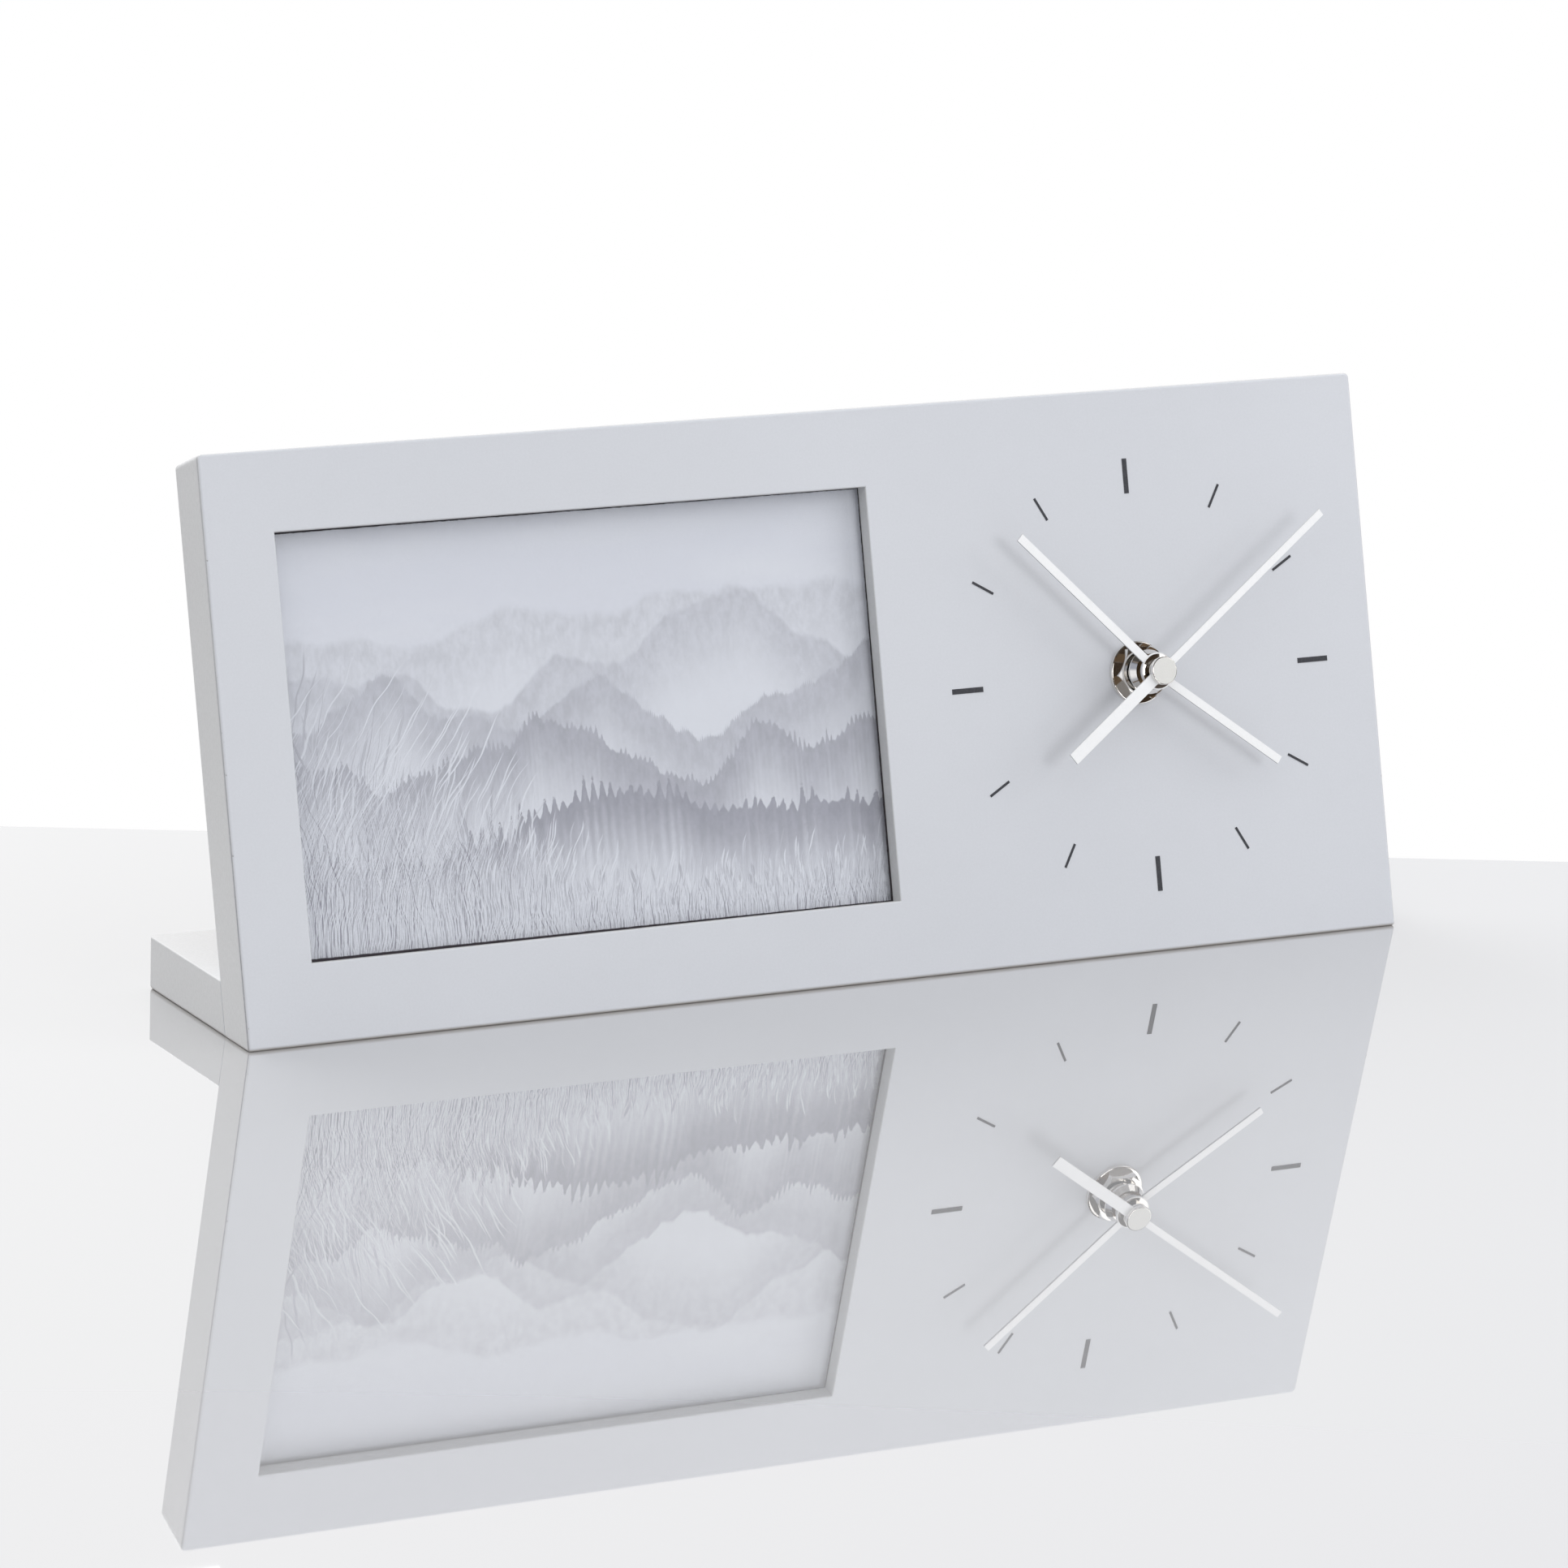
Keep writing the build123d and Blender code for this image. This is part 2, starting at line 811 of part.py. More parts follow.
def hex_nut():
    """The nut that clamps the board, its front corners turned off."""
    corner = nut_across_flats / sqrt(3)
    flats = RegularPolygon(nut_across_flats / 2, 6, major_radius=False)
    body = Pos(0, 0, washer_front) * extrude(flats, nut_thickness)
    points = [
        (bush_radius + fit_clearance, washer_front),
        (corner, washer_front),
        (corner, nut_front - nut_chamfer),
        (corner - nut_chamfer_reach, nut_front),
        (bush_radius + fit_clearance, nut_front),
    ]
    return on_shaft(Rot(0, 0, nut_turn) * (body & turned(points)))


# Movement case


def case_outline(bottom, rear, front):
    """The case's outer block down to a lower side, with rounded corners."""
    half = case_side / 2
    body = rounded_block(-half, half, -half, half, rear, front, case_corner_radius)
    if bottom > -half:
        body -= block(-case_side, case_side, -case_side, bottom, rear - overrun, front + overrun)
    return body


def movement_case():
    """The front shell: a chamber for the wheels over an open battery bay."""
    half = chamber_half
    body = case_outline(-case_side / 2, case_rear, case_front)
    rim = body.faces().sort_by(Axis.Z)[-1].edges()
    body = fillet(rim, case_edge_radius)
    chamber = block(-half, half, chamber_bottom, half, case_rear - overrun, case_floor)
    bay = block(-half, half, bay_bottom, bay_top, case_rear - overrun, case_floor)
    seat = block(-case_side, case_side, bay_top, case_side, case_rear - overrun, cover_inside)
    body = cut_holes(body, [chamber, bay, seat])
    for place in post_places:
        body += rod(post_radius, case_floor, plate_front, place)
    pivot = rod(motion_arbor_radius + running_clearance, case_floor + pivot_depth, case_floor, motion_at)
    hole = rod(bush_radius + fit_clearance, case_front + overrun, case_floor - overrun)
    return on_shaft(cut_holes(body, [pivot, hole]))


def rear_cover():
    """The cover over the chamber, with posts that press the middle plate."""
    half = chamber_half - cover_clearance
    lower = chamber_bottom + cover_clearance
    body = case_outline(bay_top + cover_clearance, case_rear, cover_inside)
    rim_front = cover_inside + cover_rim_height
    rim = block(-half, half, lower, half, cover_inside, rim_front)
    inner = half - cover_rim_wall
    rim -= block(-inner, inner, lower + cover_rim_wall, inner, cover_inside, rim_front)
    body += rim
    for place in post_places:
        body += rod(post_radius, plate_rear, cover_inside, place)
    bearings = [
        (second_arbor_radius, shaft_at),
        (third_arbor_radius, third_at),
        (intermediate_arbor_radius, intermediate_at),
        (rotor_arbor_radius, rotor_at),
    ]
    for radius, place in bearings:
        hole_radius = radius + running_clearance
        end = cover_inside - pivot_depth - pivot_end_gap
        body -= rod(hole_radius, cover_inside, end, place)
    hole_radius = motion_arbor_radius + running_clearance
    body -= rod(hole_radius, cover_inside + overrun, case_rear - overrun, motion_at)
    return on_shaft(body)


def middle_plate():
    """The plate that carries the coil, the circuit board and the wheels' front pivots."""
    half = chamber_half - plate_clearance
    body = block(-half, half, chamber_bottom + plate_clearance, half, plate_rear, plate_front)
    for place in peg_places():
        body += rod(peg_radius, plate_rear, stator_front, place)
    through = [
        (second_arbor_radius, shaft_at),
        (third_arbor_radius, third_at),
        (motion_arbor_radius, motion_at),
    ]
    for radius, place in through:
        hole_radius = radius + running_clearance
        body -= rod(hole_radius, plate_front + overrun, plate_rear - overrun, place)
    blind = [(intermediate_arbor_radius, intermediate_at), (rotor_arbor_radius, rotor_at)]
    for radius, place in blind:
        hole_radius = radius + running_clearance
        body -= rod(hole_radius, plate_rear + pivot_depth, plate_rear - overrun, place)
    return on_shaft(body)


def peg_places():
    """Pegs under the stator's two legs and the circuit board's corners."""
    leg = stator_leg / 2
    left, right = stator_left + leg, stator_right - leg
    low = stator_bottom + leg
    inset = peg_radius + peg_edge_gap
    corner_low = (board_left + inset, board_bottom + inset)
    corner_high = (board_right - inset, board_top - inset)
    return [(left, low), (right, low), corner_low, corner_high]


# Wheels of the hands


def hour_wheel():
    """The wheel and pipe that carry the hour hand."""
    turn = facing_tooth(motion_direction)
    body = wheel(hour_teeth, hour_module, turn, hour_level, shaft_at)
    body += rod(hour_pipe_radius, hour_disc_rear - pinion_overlap, hour_level - wheel_thickness)
    bore = rod(hour_pipe_bore_radius, hour_hand_front, hour_level - wheel_thickness)
    return on_shaft(body - bore)


def minute_arbor():
    """The hollow arbor of the minute hand, with its pinion and clutch collar."""
    rear = plate_front + plate_clearance
    body = rod(minute_arbor_radius, minute_hand_front - pinion_overlap, rear)
    turn = facing_tooth(motion_direction)
    body += pinion(cannon_teeth, motion_module, turn, motion_level, shaft_at)
    collar_front = motion_level - wheel_thickness
    body += rod(minute_collar_radius, collar_front, centre_level + running_clearance)
    return on_shaft(body - rod(minute_bore_radius, minute_hand_front, rear - overrun))


def motion_wheel():
    """The wheel and pinion between the minute arbor and the hour wheel."""
    turn = facing_gap(motion_direction, motion_teeth)
    body = wheel(motion_teeth, motion_module, turn, motion_level, motion_at)
    turn = facing_gap(motion_direction, motion_pinion_teeth)
    body += pinion(motion_pinion_teeth, hour_module, turn, hour_level, motion_at)
    front = case_floor + pivot_depth - running_clearance
    rear = case_rear - knob_gap - knob_height + knob_skin
    body += rod(motion_arbor_radius, front, rear, motion_at)
    return on_shaft(body + rod(wheel_hub_radius, hour_level, motion_level, motion_at))


def centre_wheel():
    """The wheel that drives the minute arbor through a slipping fit."""
    turn = facing_tooth(third_direction)
    body = wheel(centre_teeth, centre_module, turn, centre_level, shaft_at)
    bore = minute_arbor_radius + running_clearance
    return on_shaft(body - rod(bore, centre_level, centre_level - wheel_thickness))


def second_wheel():
    """The seconds arbor, which reaches from the rear cover to the sweep hand."""
    rear = cover_inside - pivot_depth
    body = rod(second_arbor_radius, second_disc_rear - fit_clearance, rear)
    turn = facing_tooth(third_direction)
    body += pinion(second_pinion_teeth, third_module, turn, third_level, shaft_at)
    turn = facing_tooth(intermediate_direction)
    return on_shaft(body + wheel(second_teeth, second_module, turn, second_level, shaft_at))


def third_wheel():
    """The wheel and pinion between the seconds arbor and the centre wheel."""
    front = centre_level + pinion_overlap
    body = rod(third_arbor_radius, front, cover_inside - pivot_depth, third_at)
    turn = facing_gap(third_direction, third_pinion_teeth)
    body += pinion(third_pinion_teeth, centre_module, turn, centre_level, third_at)
    turn = facing_gap(third_direction, third_teeth)
    return on_shaft(body + wheel(third_teeth, third_module, turn, third_level, third_at))


def intermediate_wheel():
    """The wheel and pinion between the rotor and the seconds wheel."""
    at = intermediate_at
    front = plate_rear + pivot_depth - running_clearance
    body = rod(intermediate_arbor_radius, front, cover_inside - pivot_depth, at)
    turn = facing_gap(intermediate_direction, intermediate_pinion_teeth)
    body += pinion(intermediate_pinion_teeth, second_module, turn, second_level, at)
    turn = facing_tooth(rotor_direction)
    return on_shaft(body + wheel(intermediate_teeth, rotor_module, turn, rotor_level, at))


# Motor


def rotor():
    """The rotor's arbor and pinion."""
    front = plate_rear + pivot_depth - running_clearance
    body = rod(rotor_arbor_radius, front, cover_inside - pivot_depth, rotor_at)
    turn = facing_gap(rotor_direction, rotor_teeth)
    return on_shaft(body + pinion(rotor_teeth, rotor_module, turn, rotor_level, rotor_at))


def rotor_magnet():
    """The round magnet on the rotor, level with the stator."""
    middle = (stator_front + stator_rear) / 2
    front, rear = middle + magnet_length / 2, middle - magnet_length / 2
    bore = rod(rotor_arbor_radius + fit_clearance, front, rear, rotor_at)
    return on_shaft(rod(magnet_radius, front, rear, rotor_at) - bore)


def stator():
    """The iron plate round the magnet and the bar through the coil."""
    core_bottom = core_centre - core_height / 2
    core_top = core_centre + core_height / 2
    levels = (stator_rear, stator_front)
    left, right = stator_left, stator_right
    body = block(left, right, stator_bottom, stator_web_top, *levels)
    body += block(left, left + stator_leg, stator_web_top, core_top, *levels)
    body += block(right - stator_leg, right, stator_web_top, core_top, *levels)
    body += block(left, right, core_bottom, core_top, *levels)
    hole = rod(magnet_radius + magnet_gap, stator_front, stator_rear, rotor_at)
    return on_shaft(body - hole)


def coil_axis():
    """The coil's middle and the length between the stator's legs."""
    left = stator_left + stator_leg + bobbin_gap
    right = stator_right - stator_leg - bobbin_gap
    return left, right, (stator_front + stator_rear) / 2


def cross_rod(radius, left, right, y, z):
    """A round bar along the board's length."""
    seat = (Align.CENTER, Align.CENTER, Align.MIN)
    return Pos(left, y, z) * Rot(0, 90, 0) * Cylinder(radius, right - left, align=seat)


def coil_bobbin():
    """The plastic former that the coil is wound on."""
    left, right, level = coil_axis()
    body = cross_rod(bobbin_tube_radius, left, right, core_centre, level)
    body += cross_rod(bobbin_flange_radius, left, left + bobbin_flange, core_centre, level)
    body += cross_rod(bobbin_flange_radius, right - bobbin_flange, right, core_centre, level)
    sides = (left - overrun, right + overrun, core_centre - core_half, core_centre + core_half)
    levels = (level - core_half_thickness, level + core_half_thickness)
    return on_shaft(body - block(*sides, *levels))


def coil():
    """The winding on the former."""
    left, right, level = coil_axis()
    left += bobbin_flange + part_seat_gap
    right -= bobbin_flange + part_seat_gap
    body = cross_rod(coil_radius, left, right, core_centre, level)
    bore = cross_rod(bobbin_tube_radius + fit_clearance, left, right, core_centre, level)
    return on_shaft(body - bore)


def circuit_board():
    """The small board beside the coil."""
    rear = stator_front - board_thickness
    return on_shaft(block(board_left, board_right, board_bottom, board_top, rear, stator_front))


def clock_chip():
    """The round drop of resin over the chip."""
    rear = stator_front - board_thickness
    middle = ((board_left + board_right) / 2, board_bottom + chip_radius + chip_edge_gap)
    return on_shaft(rod(chip_radius, rear, rear - chip_height, middle))


def quartz_crystal():
    """The small metal can of the crystal, lying on the board."""
    level = stator_front - board_thickness - crystal_radius - part_seat_gap
    left = board_left + crystal_edge_gap
    y = board_top - crystal_edge_gap - crystal_radius
    return on_shaft(cross_rod(crystal_radius, left, left + crystal_length, y, level))


# Battery bay

battery_y = (bay_bottom + bay_top) / 2
battery_level = case_floor - battery_floor_gap - battery_radius
contact_face = chamber_half - part_seat_gap - contact_thickness
battery_right = contact_face - contact_tongue_gap
battery_left = battery_right - battery_nub_length - battery_body_length


def battery():
    """A round cell with its nub to the right."""
    body_right = battery_right - battery_nub_length
    body = cross_rod(battery_radius, battery_left, body_right, battery_y, battery_level)
    body = fillet(body.edges().filter_by(GeomType.CIRCLE), battery_edge_radius)
    nub = cross_rod(battery_nub_radius, body_right, battery_right, battery_y, battery_level)
    return on_shaft(body + nub)


def contact_plate(left):
    """The flat part of a contact, against the end of the bay."""
    half = contact_width / 2
    height = contact_height / 2
    sides = (left, left + contact_thickness, battery_y - half, battery_y + half)
    return block(*sides, battery_level - height, battery_level + height)


def positive_contact():
    """The plate that touches the nub."""
    return on_shaft(contact_plate(contact_face))


def negative_contact():
    """The plate with a sprung tongue for the cell's flat end."""
    outer = -contact_face
    half = contact_width / 2
    height = contact_height / 2
    tip = battery_left - contact_tongue_gap
    inner = tip - contact_thickness
    bend = contact_thickness * 2
    outline = Polyline(
        (outer, battery_level - height),
        (tip, battery_level),
        (outer, battery_level + height),
        (outer, battery_level + height - bend),
        (inner, battery_level),
        (outer, battery_level - height + bend),
        close=True,
    )
    side = Plane.XZ.offset(-battery_y - half)
    tongue = extrude(side * make_face(outline), contact_width)
    return on_shaft(contact_plate(outer - contact_thickness) + tongue)


def setting_knob():
    """The ridged knob behind the cover that sets the hands."""
    front = case_rear - knob_gap
    rear = front - knob_height
    body = rod(knob_radius, front, rear, motion_at)
    body = fillet(body.edges().filter_by(GeomType.CIRCLE), knob_edge_radius)
    for ridge in range(knob_ridges):
        place = polar(knob_radius, ridge * 360 / knob_ridges, motion_at)
        body += rod(knob_ridge_radius, front - knob_edge_radius, rear + knob_edge_radius, place)
    socket = rod(motion_arbor_radius + fit_clearance, front + overrun, rear + knob_skin, motion_at)
    return on_shaft(body - socket)


def main():
    """Writes every sub-part to its own file."""
    nodes = [
        front_panel, base_board, base_dowels, window_glass, photo_print, filler_card,
        backing_board, turn_button_screws, hour_marks, hour_hand, hour_hub, minute_hand,
        minute_hub, second_hand, second_hub, hand_cap, threaded_bush, rubber_washer,
        face_washer, hex_nut, movement_case, rear_cover, middle_plate, hour_wheel,
        minute_arbor, motion_wheel, centre_wheel, second_wheel, third_wheel,
        intermediate_wheel, rotor, rotor_magnet, stator, coil_bobbin, coil, circuit_board,
        clock_chip, quartz_crystal, battery, positive_contact, negative_contact, setting_knob,
    ]
    os.makedirs("parts", exist_ok=True)
    for node in nodes:
        export_step(node(), f"parts/{node.__name__}.step")
    button_names = ("upper_left", "lower_left", "upper_right", "lower_right")
    for name, place in zip(button_names, button_places):
        export_step(turn_button(*place), f"parts/turn_button_{name}.step")


main()
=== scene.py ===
import math

import bpy
from mathutils import Matrix, Vector


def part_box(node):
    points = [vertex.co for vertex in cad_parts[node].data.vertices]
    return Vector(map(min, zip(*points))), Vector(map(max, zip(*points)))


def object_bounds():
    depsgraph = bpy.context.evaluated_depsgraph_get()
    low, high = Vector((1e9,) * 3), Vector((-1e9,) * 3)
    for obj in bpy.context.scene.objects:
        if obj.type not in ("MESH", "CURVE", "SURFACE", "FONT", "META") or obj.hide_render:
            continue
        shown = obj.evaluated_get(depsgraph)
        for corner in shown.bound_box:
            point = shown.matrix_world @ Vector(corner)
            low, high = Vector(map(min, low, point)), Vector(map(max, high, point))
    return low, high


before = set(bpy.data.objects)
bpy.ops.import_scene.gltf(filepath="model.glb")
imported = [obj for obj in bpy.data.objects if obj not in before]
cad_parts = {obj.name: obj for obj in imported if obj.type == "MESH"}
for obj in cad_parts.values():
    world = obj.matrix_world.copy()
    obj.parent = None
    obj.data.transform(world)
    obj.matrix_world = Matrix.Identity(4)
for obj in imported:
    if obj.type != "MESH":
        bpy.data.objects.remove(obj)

cad_low, cad_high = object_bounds()

# Lengths are in metres, as in the frame. Millimetres are written as a number times MM.
MM = 0.001

# The camera, as it was solved for the photo: a square picture with the axis through its middle
PICTURE_PIXELS = 1932
FOCAL_PIXELS = 9244.1
SENSOR = 36.0
CAMERA_AZIMUTH = math.radians(-28.133)
CAMERA_ELEVATION = math.radians(14.216)
CAMERA_ROLL = math.radians(1.950)
CAMERA_DISTANCE = 1598.7 * MM
CLIP_NEAR, CLIP_FAR = 50.0 * MM, 50000.0 * MM
TARGET_FROM_LEFT = 123.42 * MM
TARGET_HEIGHT = 46.65 * MM

# The table's far edge, where it leaves the picture at the left and at the right
TABLE_EDGE_LEFT_PIXEL = 1018
TABLE_EDGE_RIGHT_PIXEL = 1062

# The board's own axes, from the frame: along it, up its face and out of the face
BOARD_LOW, BOARD_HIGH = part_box("front_panel")
PRINT_LOW, PRINT_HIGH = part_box("photo_print")
CELL_LOW, CELL_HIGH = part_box("battery")
TILT = math.radians(14.7)
ALONG = Vector((1, 0, 0))
UP_FACE = Vector((0, math.sin(TILT), math.cos(TILT)))
OUT_OF_FACE = Vector((0, -math.cos(TILT), math.sin(TILT)))
FOOT = Vector((0, -cad_high.y, 0))
LEFT_EDGE = BOARD_LOW.x
RIGHT_EDGE = BOARD_HIGH.x

# Sizes on the board, as the solids have them
WINDOW_LEFT = LEFT_EDGE + 16.0 * MM
WINDOW_WIDTH = 139.4 * MM
WINDOW_BOTTOM = 17.2 * MM
WINDOW_HEIGHT = 89.9 * MM
LIP = 3.5 * MM
SHAFT_X = RIGHT_EDGE - 61.0 * MM
SHAFT_UP = 61.8 * MM


# Camera


def camera_axes():
    """The camera's place and its right, up and backward directions."""
    back = Vector((
        math.sin(CAMERA_AZIMUTH) * math.cos(CAMERA_ELEVATION),
        -math.cos(CAMERA_AZIMUTH) * math.cos(CAMERA_ELEVATION),
        math.sin(CAMERA_ELEVATION),
    ))
    target = Vector((LEFT_EDGE + TARGET_FROM_LEFT, FOOT.y, TARGET_HEIGHT))
    level_right = Vector((0, 0, 1)).cross(back).normalized()
    level_up = back.cross(level_right)
    turn = Matrix.Rotation(CAMERA_ROLL, 3, back)
    return target + back * CAMERA_DISTANCE, turn @ level_right, turn @ level_up, back


def add_camera():
    """The camera at the photo's viewing angle."""
    place, right, up, back = camera_axes()
    data = bpy.data.cameras.new("camera")
    data.sensor_width = SENSOR
    data.lens = SENSOR * FOCAL_PIXELS / PICTURE_PIXELS
    data.clip_start, data.clip_end = CLIP_NEAR, CLIP_FAR
    camera = bpy.data.objects.new("camera", data)
    axes = Matrix((right, up, back)).transposed().to_4x4()
    axes.translation = place
    camera.matrix_world = axes
    bpy.context.scene.collection.objects.link(camera)
    bpy.context.scene.camera = camera


def on_table(pixel_x, pixel_y):
    """The point of the table top that shows at a pixel of the picture."""
    place, right, up, back = camera_axes()
    middle = PICTURE_PIXELS / 2
    ray = right * (pixel_x - middle) + up * (middle - pixel_y) - back * FOCAL_PIXELS
    return place - ray * (place.z / ray.z)


# Node helpers


class Shader:
    """Builds one node tree with short calls."""

    def __init__(self, tree):
        self.tree = tree
        tree.nodes.clear()

    def node(self, kind, inputs=None, **settings):
        """Adds a node with its settings and fills its inputs."""
        made = self.tree.nodes.new("ShaderNode" + kind)
        for name, value in settings.items():
            setattr(made, name, value)
        self.fill(made, inputs or {})
        return made

    def put(self, socket, value):
        """Joins another node's socket to this one, or sets its value."""
        if isinstance(value, bpy.types.NodeSocket):
            self.tree.links.new(value, socket)
        else:
            socket.default_value = value

    def fill(self, made, inputs):
        """Puts values or sockets into a node's named inputs."""
        for name, value in inputs.items():
            self.put(made.inputs[name], value)

    def show(self, socket):
        """Makes a socket the surface that shows."""
        output = next(node for node in self.tree.nodes if node.type == "OUTPUT_MATERIAL")
        self.put(output.inputs["Surface"], socket)

    def math(self, operation, first, second=0.0, third=0.0, clamp=False):
        """One Math node's result."""
        made = self.node("Math", {0: first, 1: second, 2: third}, operation=operation, use_clamp=clamp)
        return made.outputs[0]

    def times(self, first, *others):
        """The product of two or more values."""
        for other in others:
            first = self.math("MULTIPLY", first, other)
        return first

    def minus(self, first, second):
        """The first value less the second."""
        return self.math("SUBTRACT", first, second)

    def absolute(self, value):
        """A value without its sign."""
        return self.math("ABSOLUTE", value)

    def vector(self, operation, first, second=(0, 0, 0)):
        """One Vector Math node's result."""
        made = self.node("VectorMath", {0: first, 1: second}, operation=operation)
        return made.outputs["Value" if operation in ("DOT_PRODUCT", "LENGTH") else "Vector"]

    def ramp(self, value, low, high, to_low=0.0, to_high=1.0, smooth=True):
        """A value that runs from to_low to to_high while the given one runs from low to high."""
        names = ("Value", "From Min", "From Max", "To Min", "To Max")
        made = self.node("MapRange", dict(zip(names, (value, low, high, to_low, to_high))))
        made.interpolation_type = "SMOOTHSTEP" if smooth else "LINEAR"
        return made.outputs[0]

    def mix(self, share, first, second, blend="MIX"):
        """Two colours mixed."""
        made = self.node("Mix", data_type="RGBA", blend_type=blend)
        for index, value in ((0, share), (6, first), (7, second)):
            self.put(made.inputs[index], value)
        return made.outputs[2]

    def tinted(self, colour, tone):
        """A colour made lighter or darker by a tone."""
        return self.mix(1.0, colour, self.combine(tone, tone, tone), "MULTIPLY")

    def noise(self, where, scale, detail=2.0, rough=0.5, dimensions="3D"):
        """Cloudy noise from 0 to 1."""
        place = "W" if dimensions == "1D" else "Vector"
        inputs = {place: where, "Scale": scale, "Detail": detail, "Roughness": rough}
        return self.node("TexNoise", inputs, noise_dimensions=dimensions).outputs[0]

    def stretched(self, where, scales):
        """A place scaled by its own number along each axis."""
        return self.vector("MULTIPLY", where, scales)

    def combine(self, x, y=0.0, z=0.0):
        """A place made of three values."""
        return self.node("CombineXYZ", {0: x, 1: y, 2: z}).outputs[0]

    def split(self, where):
        """The three values of a place or a colour."""
        return self.node("SeparateXYZ", {0: where}).outputs

    def object_place(self):
        """The place in the frame, in metres."""
        return self.node("TexCoord").outputs["Object"]

    def board_place(self):
        """The place on the board's own axes, in metres: along, up the face, out of it."""
        place = self.vector("SUBTRACT", self.object_place(), FOOT)
        axes = (ALONG, UP_FACE, OUT_OF_FACE)
        return self.combine(*(self.vector("DOT_PRODUCT", place, axis) for axis in axes))

    def facing(self):
        """How far the surface turns to the board's front: 1 in front, 0 at a side, -1 at the back."""
        normal = self.node("NewGeometry").outputs["Normal"]
        return self.vector("DOT_PRODUCT", normal, OUT_OF_FACE)

    def bump(self, height, distance, strength=1.0, normal=None):
        """A normal that follows a height, over another bump where one is given."""
        inputs = {"Height": height, "Distance": distance, "Strength": strength}
        if normal is not None:
            inputs["Normal"] = normal
        return self.node("Bump", inputs).outputs[0]


def surface(name, settings, build=None):
    """A material with one Principled shader. build(shader, principled) adds its nodes."""
    made = bpy.data.materials.new(name)
    made.use_nodes = True
    shader = Shader(made.node_tree)
    principled = shader.node("BsdfPrincipled", settings)
    shader.node("OutputMaterial")
    shader.show(principled.outputs[0])
    if build:
        build(shader, principled)
    return made


def dress(made, *names):
    """Gives a material to CAD nodes."""
    for name in names:
        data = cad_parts[name].data
        data.materials.clear()
        data.materials.append(made)


# Paint of the two boards: its colours, and how strongly the last two show
PAINT = (0.652, 0.672, 0.720, 1)
PAINT_EDGE = (0.640, 0.644, 0.650, 1)
# Painted shade of the line beside the upright arrises
PAINT_ARRIS_SHADE = (0.33, 0.33, 0.37, 1)
# Painted shade: the contact shadow along the foot over the table
PAINT_CONTACT_SHADE = (0.46, 0.42, 0.39, 1)
PAINT_SPECK = (0.20, 0.18, 0.17, 1)
CONTACT_SHADE_SHARE = 0.7
SPECK_SHARE = 0.8

# How fine each pattern in the paint is: how many times a metre it changes
CLOUD_SCALE = 14.0
GRAIN_SCALE = 1900.0
FIBRE_SCALES = (1700.0, 900.0, 1700.0)
WEAR_SCALE = 700.0
PEEL_SCALE = 420.0
FINE_SCALE = 2600.0
WOBBLE_SCALE = 3000.0
SPECK_SCALE = 48.0

# Each pattern's depth, and how far the pinholes stray from a round shape
PEEL_DEPTH = 0.02 * MM
FINE_DEPTH = 0.02 * MM
FIBRE_DEPTH = 0.08 * MM
SPECK_DEPTH = 0.15 * MM
SPECK_WOBBLE = 0.45 * MM

# A pinhole's heart and rim, as shares of the cell it lies in, and the share of cells that have none
SPECK_HEART_SHARE, SPECK_RIM_SHARE = 0.004, 0.011
BARE_CELL_SHARE = 0.80

# Painted shade: the dark line beside the upright arrises, with its place past them, its heart and rim, how
# far in it reaches, and the heights below which it is strongest and above which it is faintest
ARRIS_SHADE_PLACE = 0.22 * MM
ARRIS_SHADE_HEART, ARRIS_SHADE_RIM = 0.06 * MM, 0.30 * MM
ARRIS_SHADE_REACH, ARRIS_SHADE_REACH_END = 0.66 * MM, 0.72 * MM
ARRIS_SHADE_STRONG, ARRIS_SHADE_FAINT = 15.0 * MM, 100.0 * MM

# Wear on the arrises, and the painted contact shade just over the table where the foot meets it
CHIP_HEART, CHIP_RIM = 0.25 * MM, 0.75 * MM
CONTACT_SHADE_BOTTOM, CONTACT_SHADE_TOP = 0.1 * MM, 0.9 * MM


def paint_tone(shader, place, cut_edge, fibre):
    """How light the paint is: faint clouds and grain, with fibres showing on the cut edges."""
    cloud = shader.ramp(shader.noise(place, CLOUD_SCALE, 3.0), 0.3, 0.7, 0.985, 1.012)
    grain = shader.ramp(shader.noise(place, GRAIN_SCALE, 2.0, 0.7), 0.2, 0.8, 0.985, 1.015)
    fibre_tone = shader.ramp(fibre, 0.3, 0.7, 0.955, 1.015)
    return shader.times(cloud, grain, shader.ramp(cut_edge, 0, 1, 1.0, fibre_tone, smooth=False))


def pinholes(shader, place):
    """Sparse pinholes, a little out of round."""
    wobble = shader.times(shader.noise(place, WOBBLE_SCALE, 2.0), SPECK_WOBBLE)
    spots = shader.node("TexVoronoi", {"Vector": shader.vector("ADD", place, wobble), "Scale": SPECK_SCALE})
    near = shader.ramp(spots.outputs["Distance"], SPECK_HEART_SHARE, SPECK_RIM_SHARE, 0.45, 0.0)
    rare = shader.ramp(shader.split(spots.outputs["Color"])[0], BARE_CELL_SHARE, BARE_CELL_SHARE + 0.01)
    return shader.times(near, rare)


def arris_shade_line(shader, up, out, side, front_edge, wear):
    """Painted shade: the grey line beside the board's upright arrises, stronger low down and broken a little
    by the wear.
    """
    from_line = shader.absolute(shader.minus(shader.minus(shader.absolute(out), side), ARRIS_SHADE_PLACE))
    line = shader.ramp(from_line, ARRIS_SHADE_RIM, ARRIS_SHADE_HEART)
    lower = shader.ramp(up, ARRIS_SHADE_FAINT, ARRIS_SHADE_STRONG, 0.55, 1.0)
    near = shader.ramp(front_edge, ARRIS_SHADE_REACH_END, ARRIS_SHADE_REACH)
    return shader.times(line, lower, near, shader.ramp(wear, 0.30, 0.55, 0.7, 1.0))


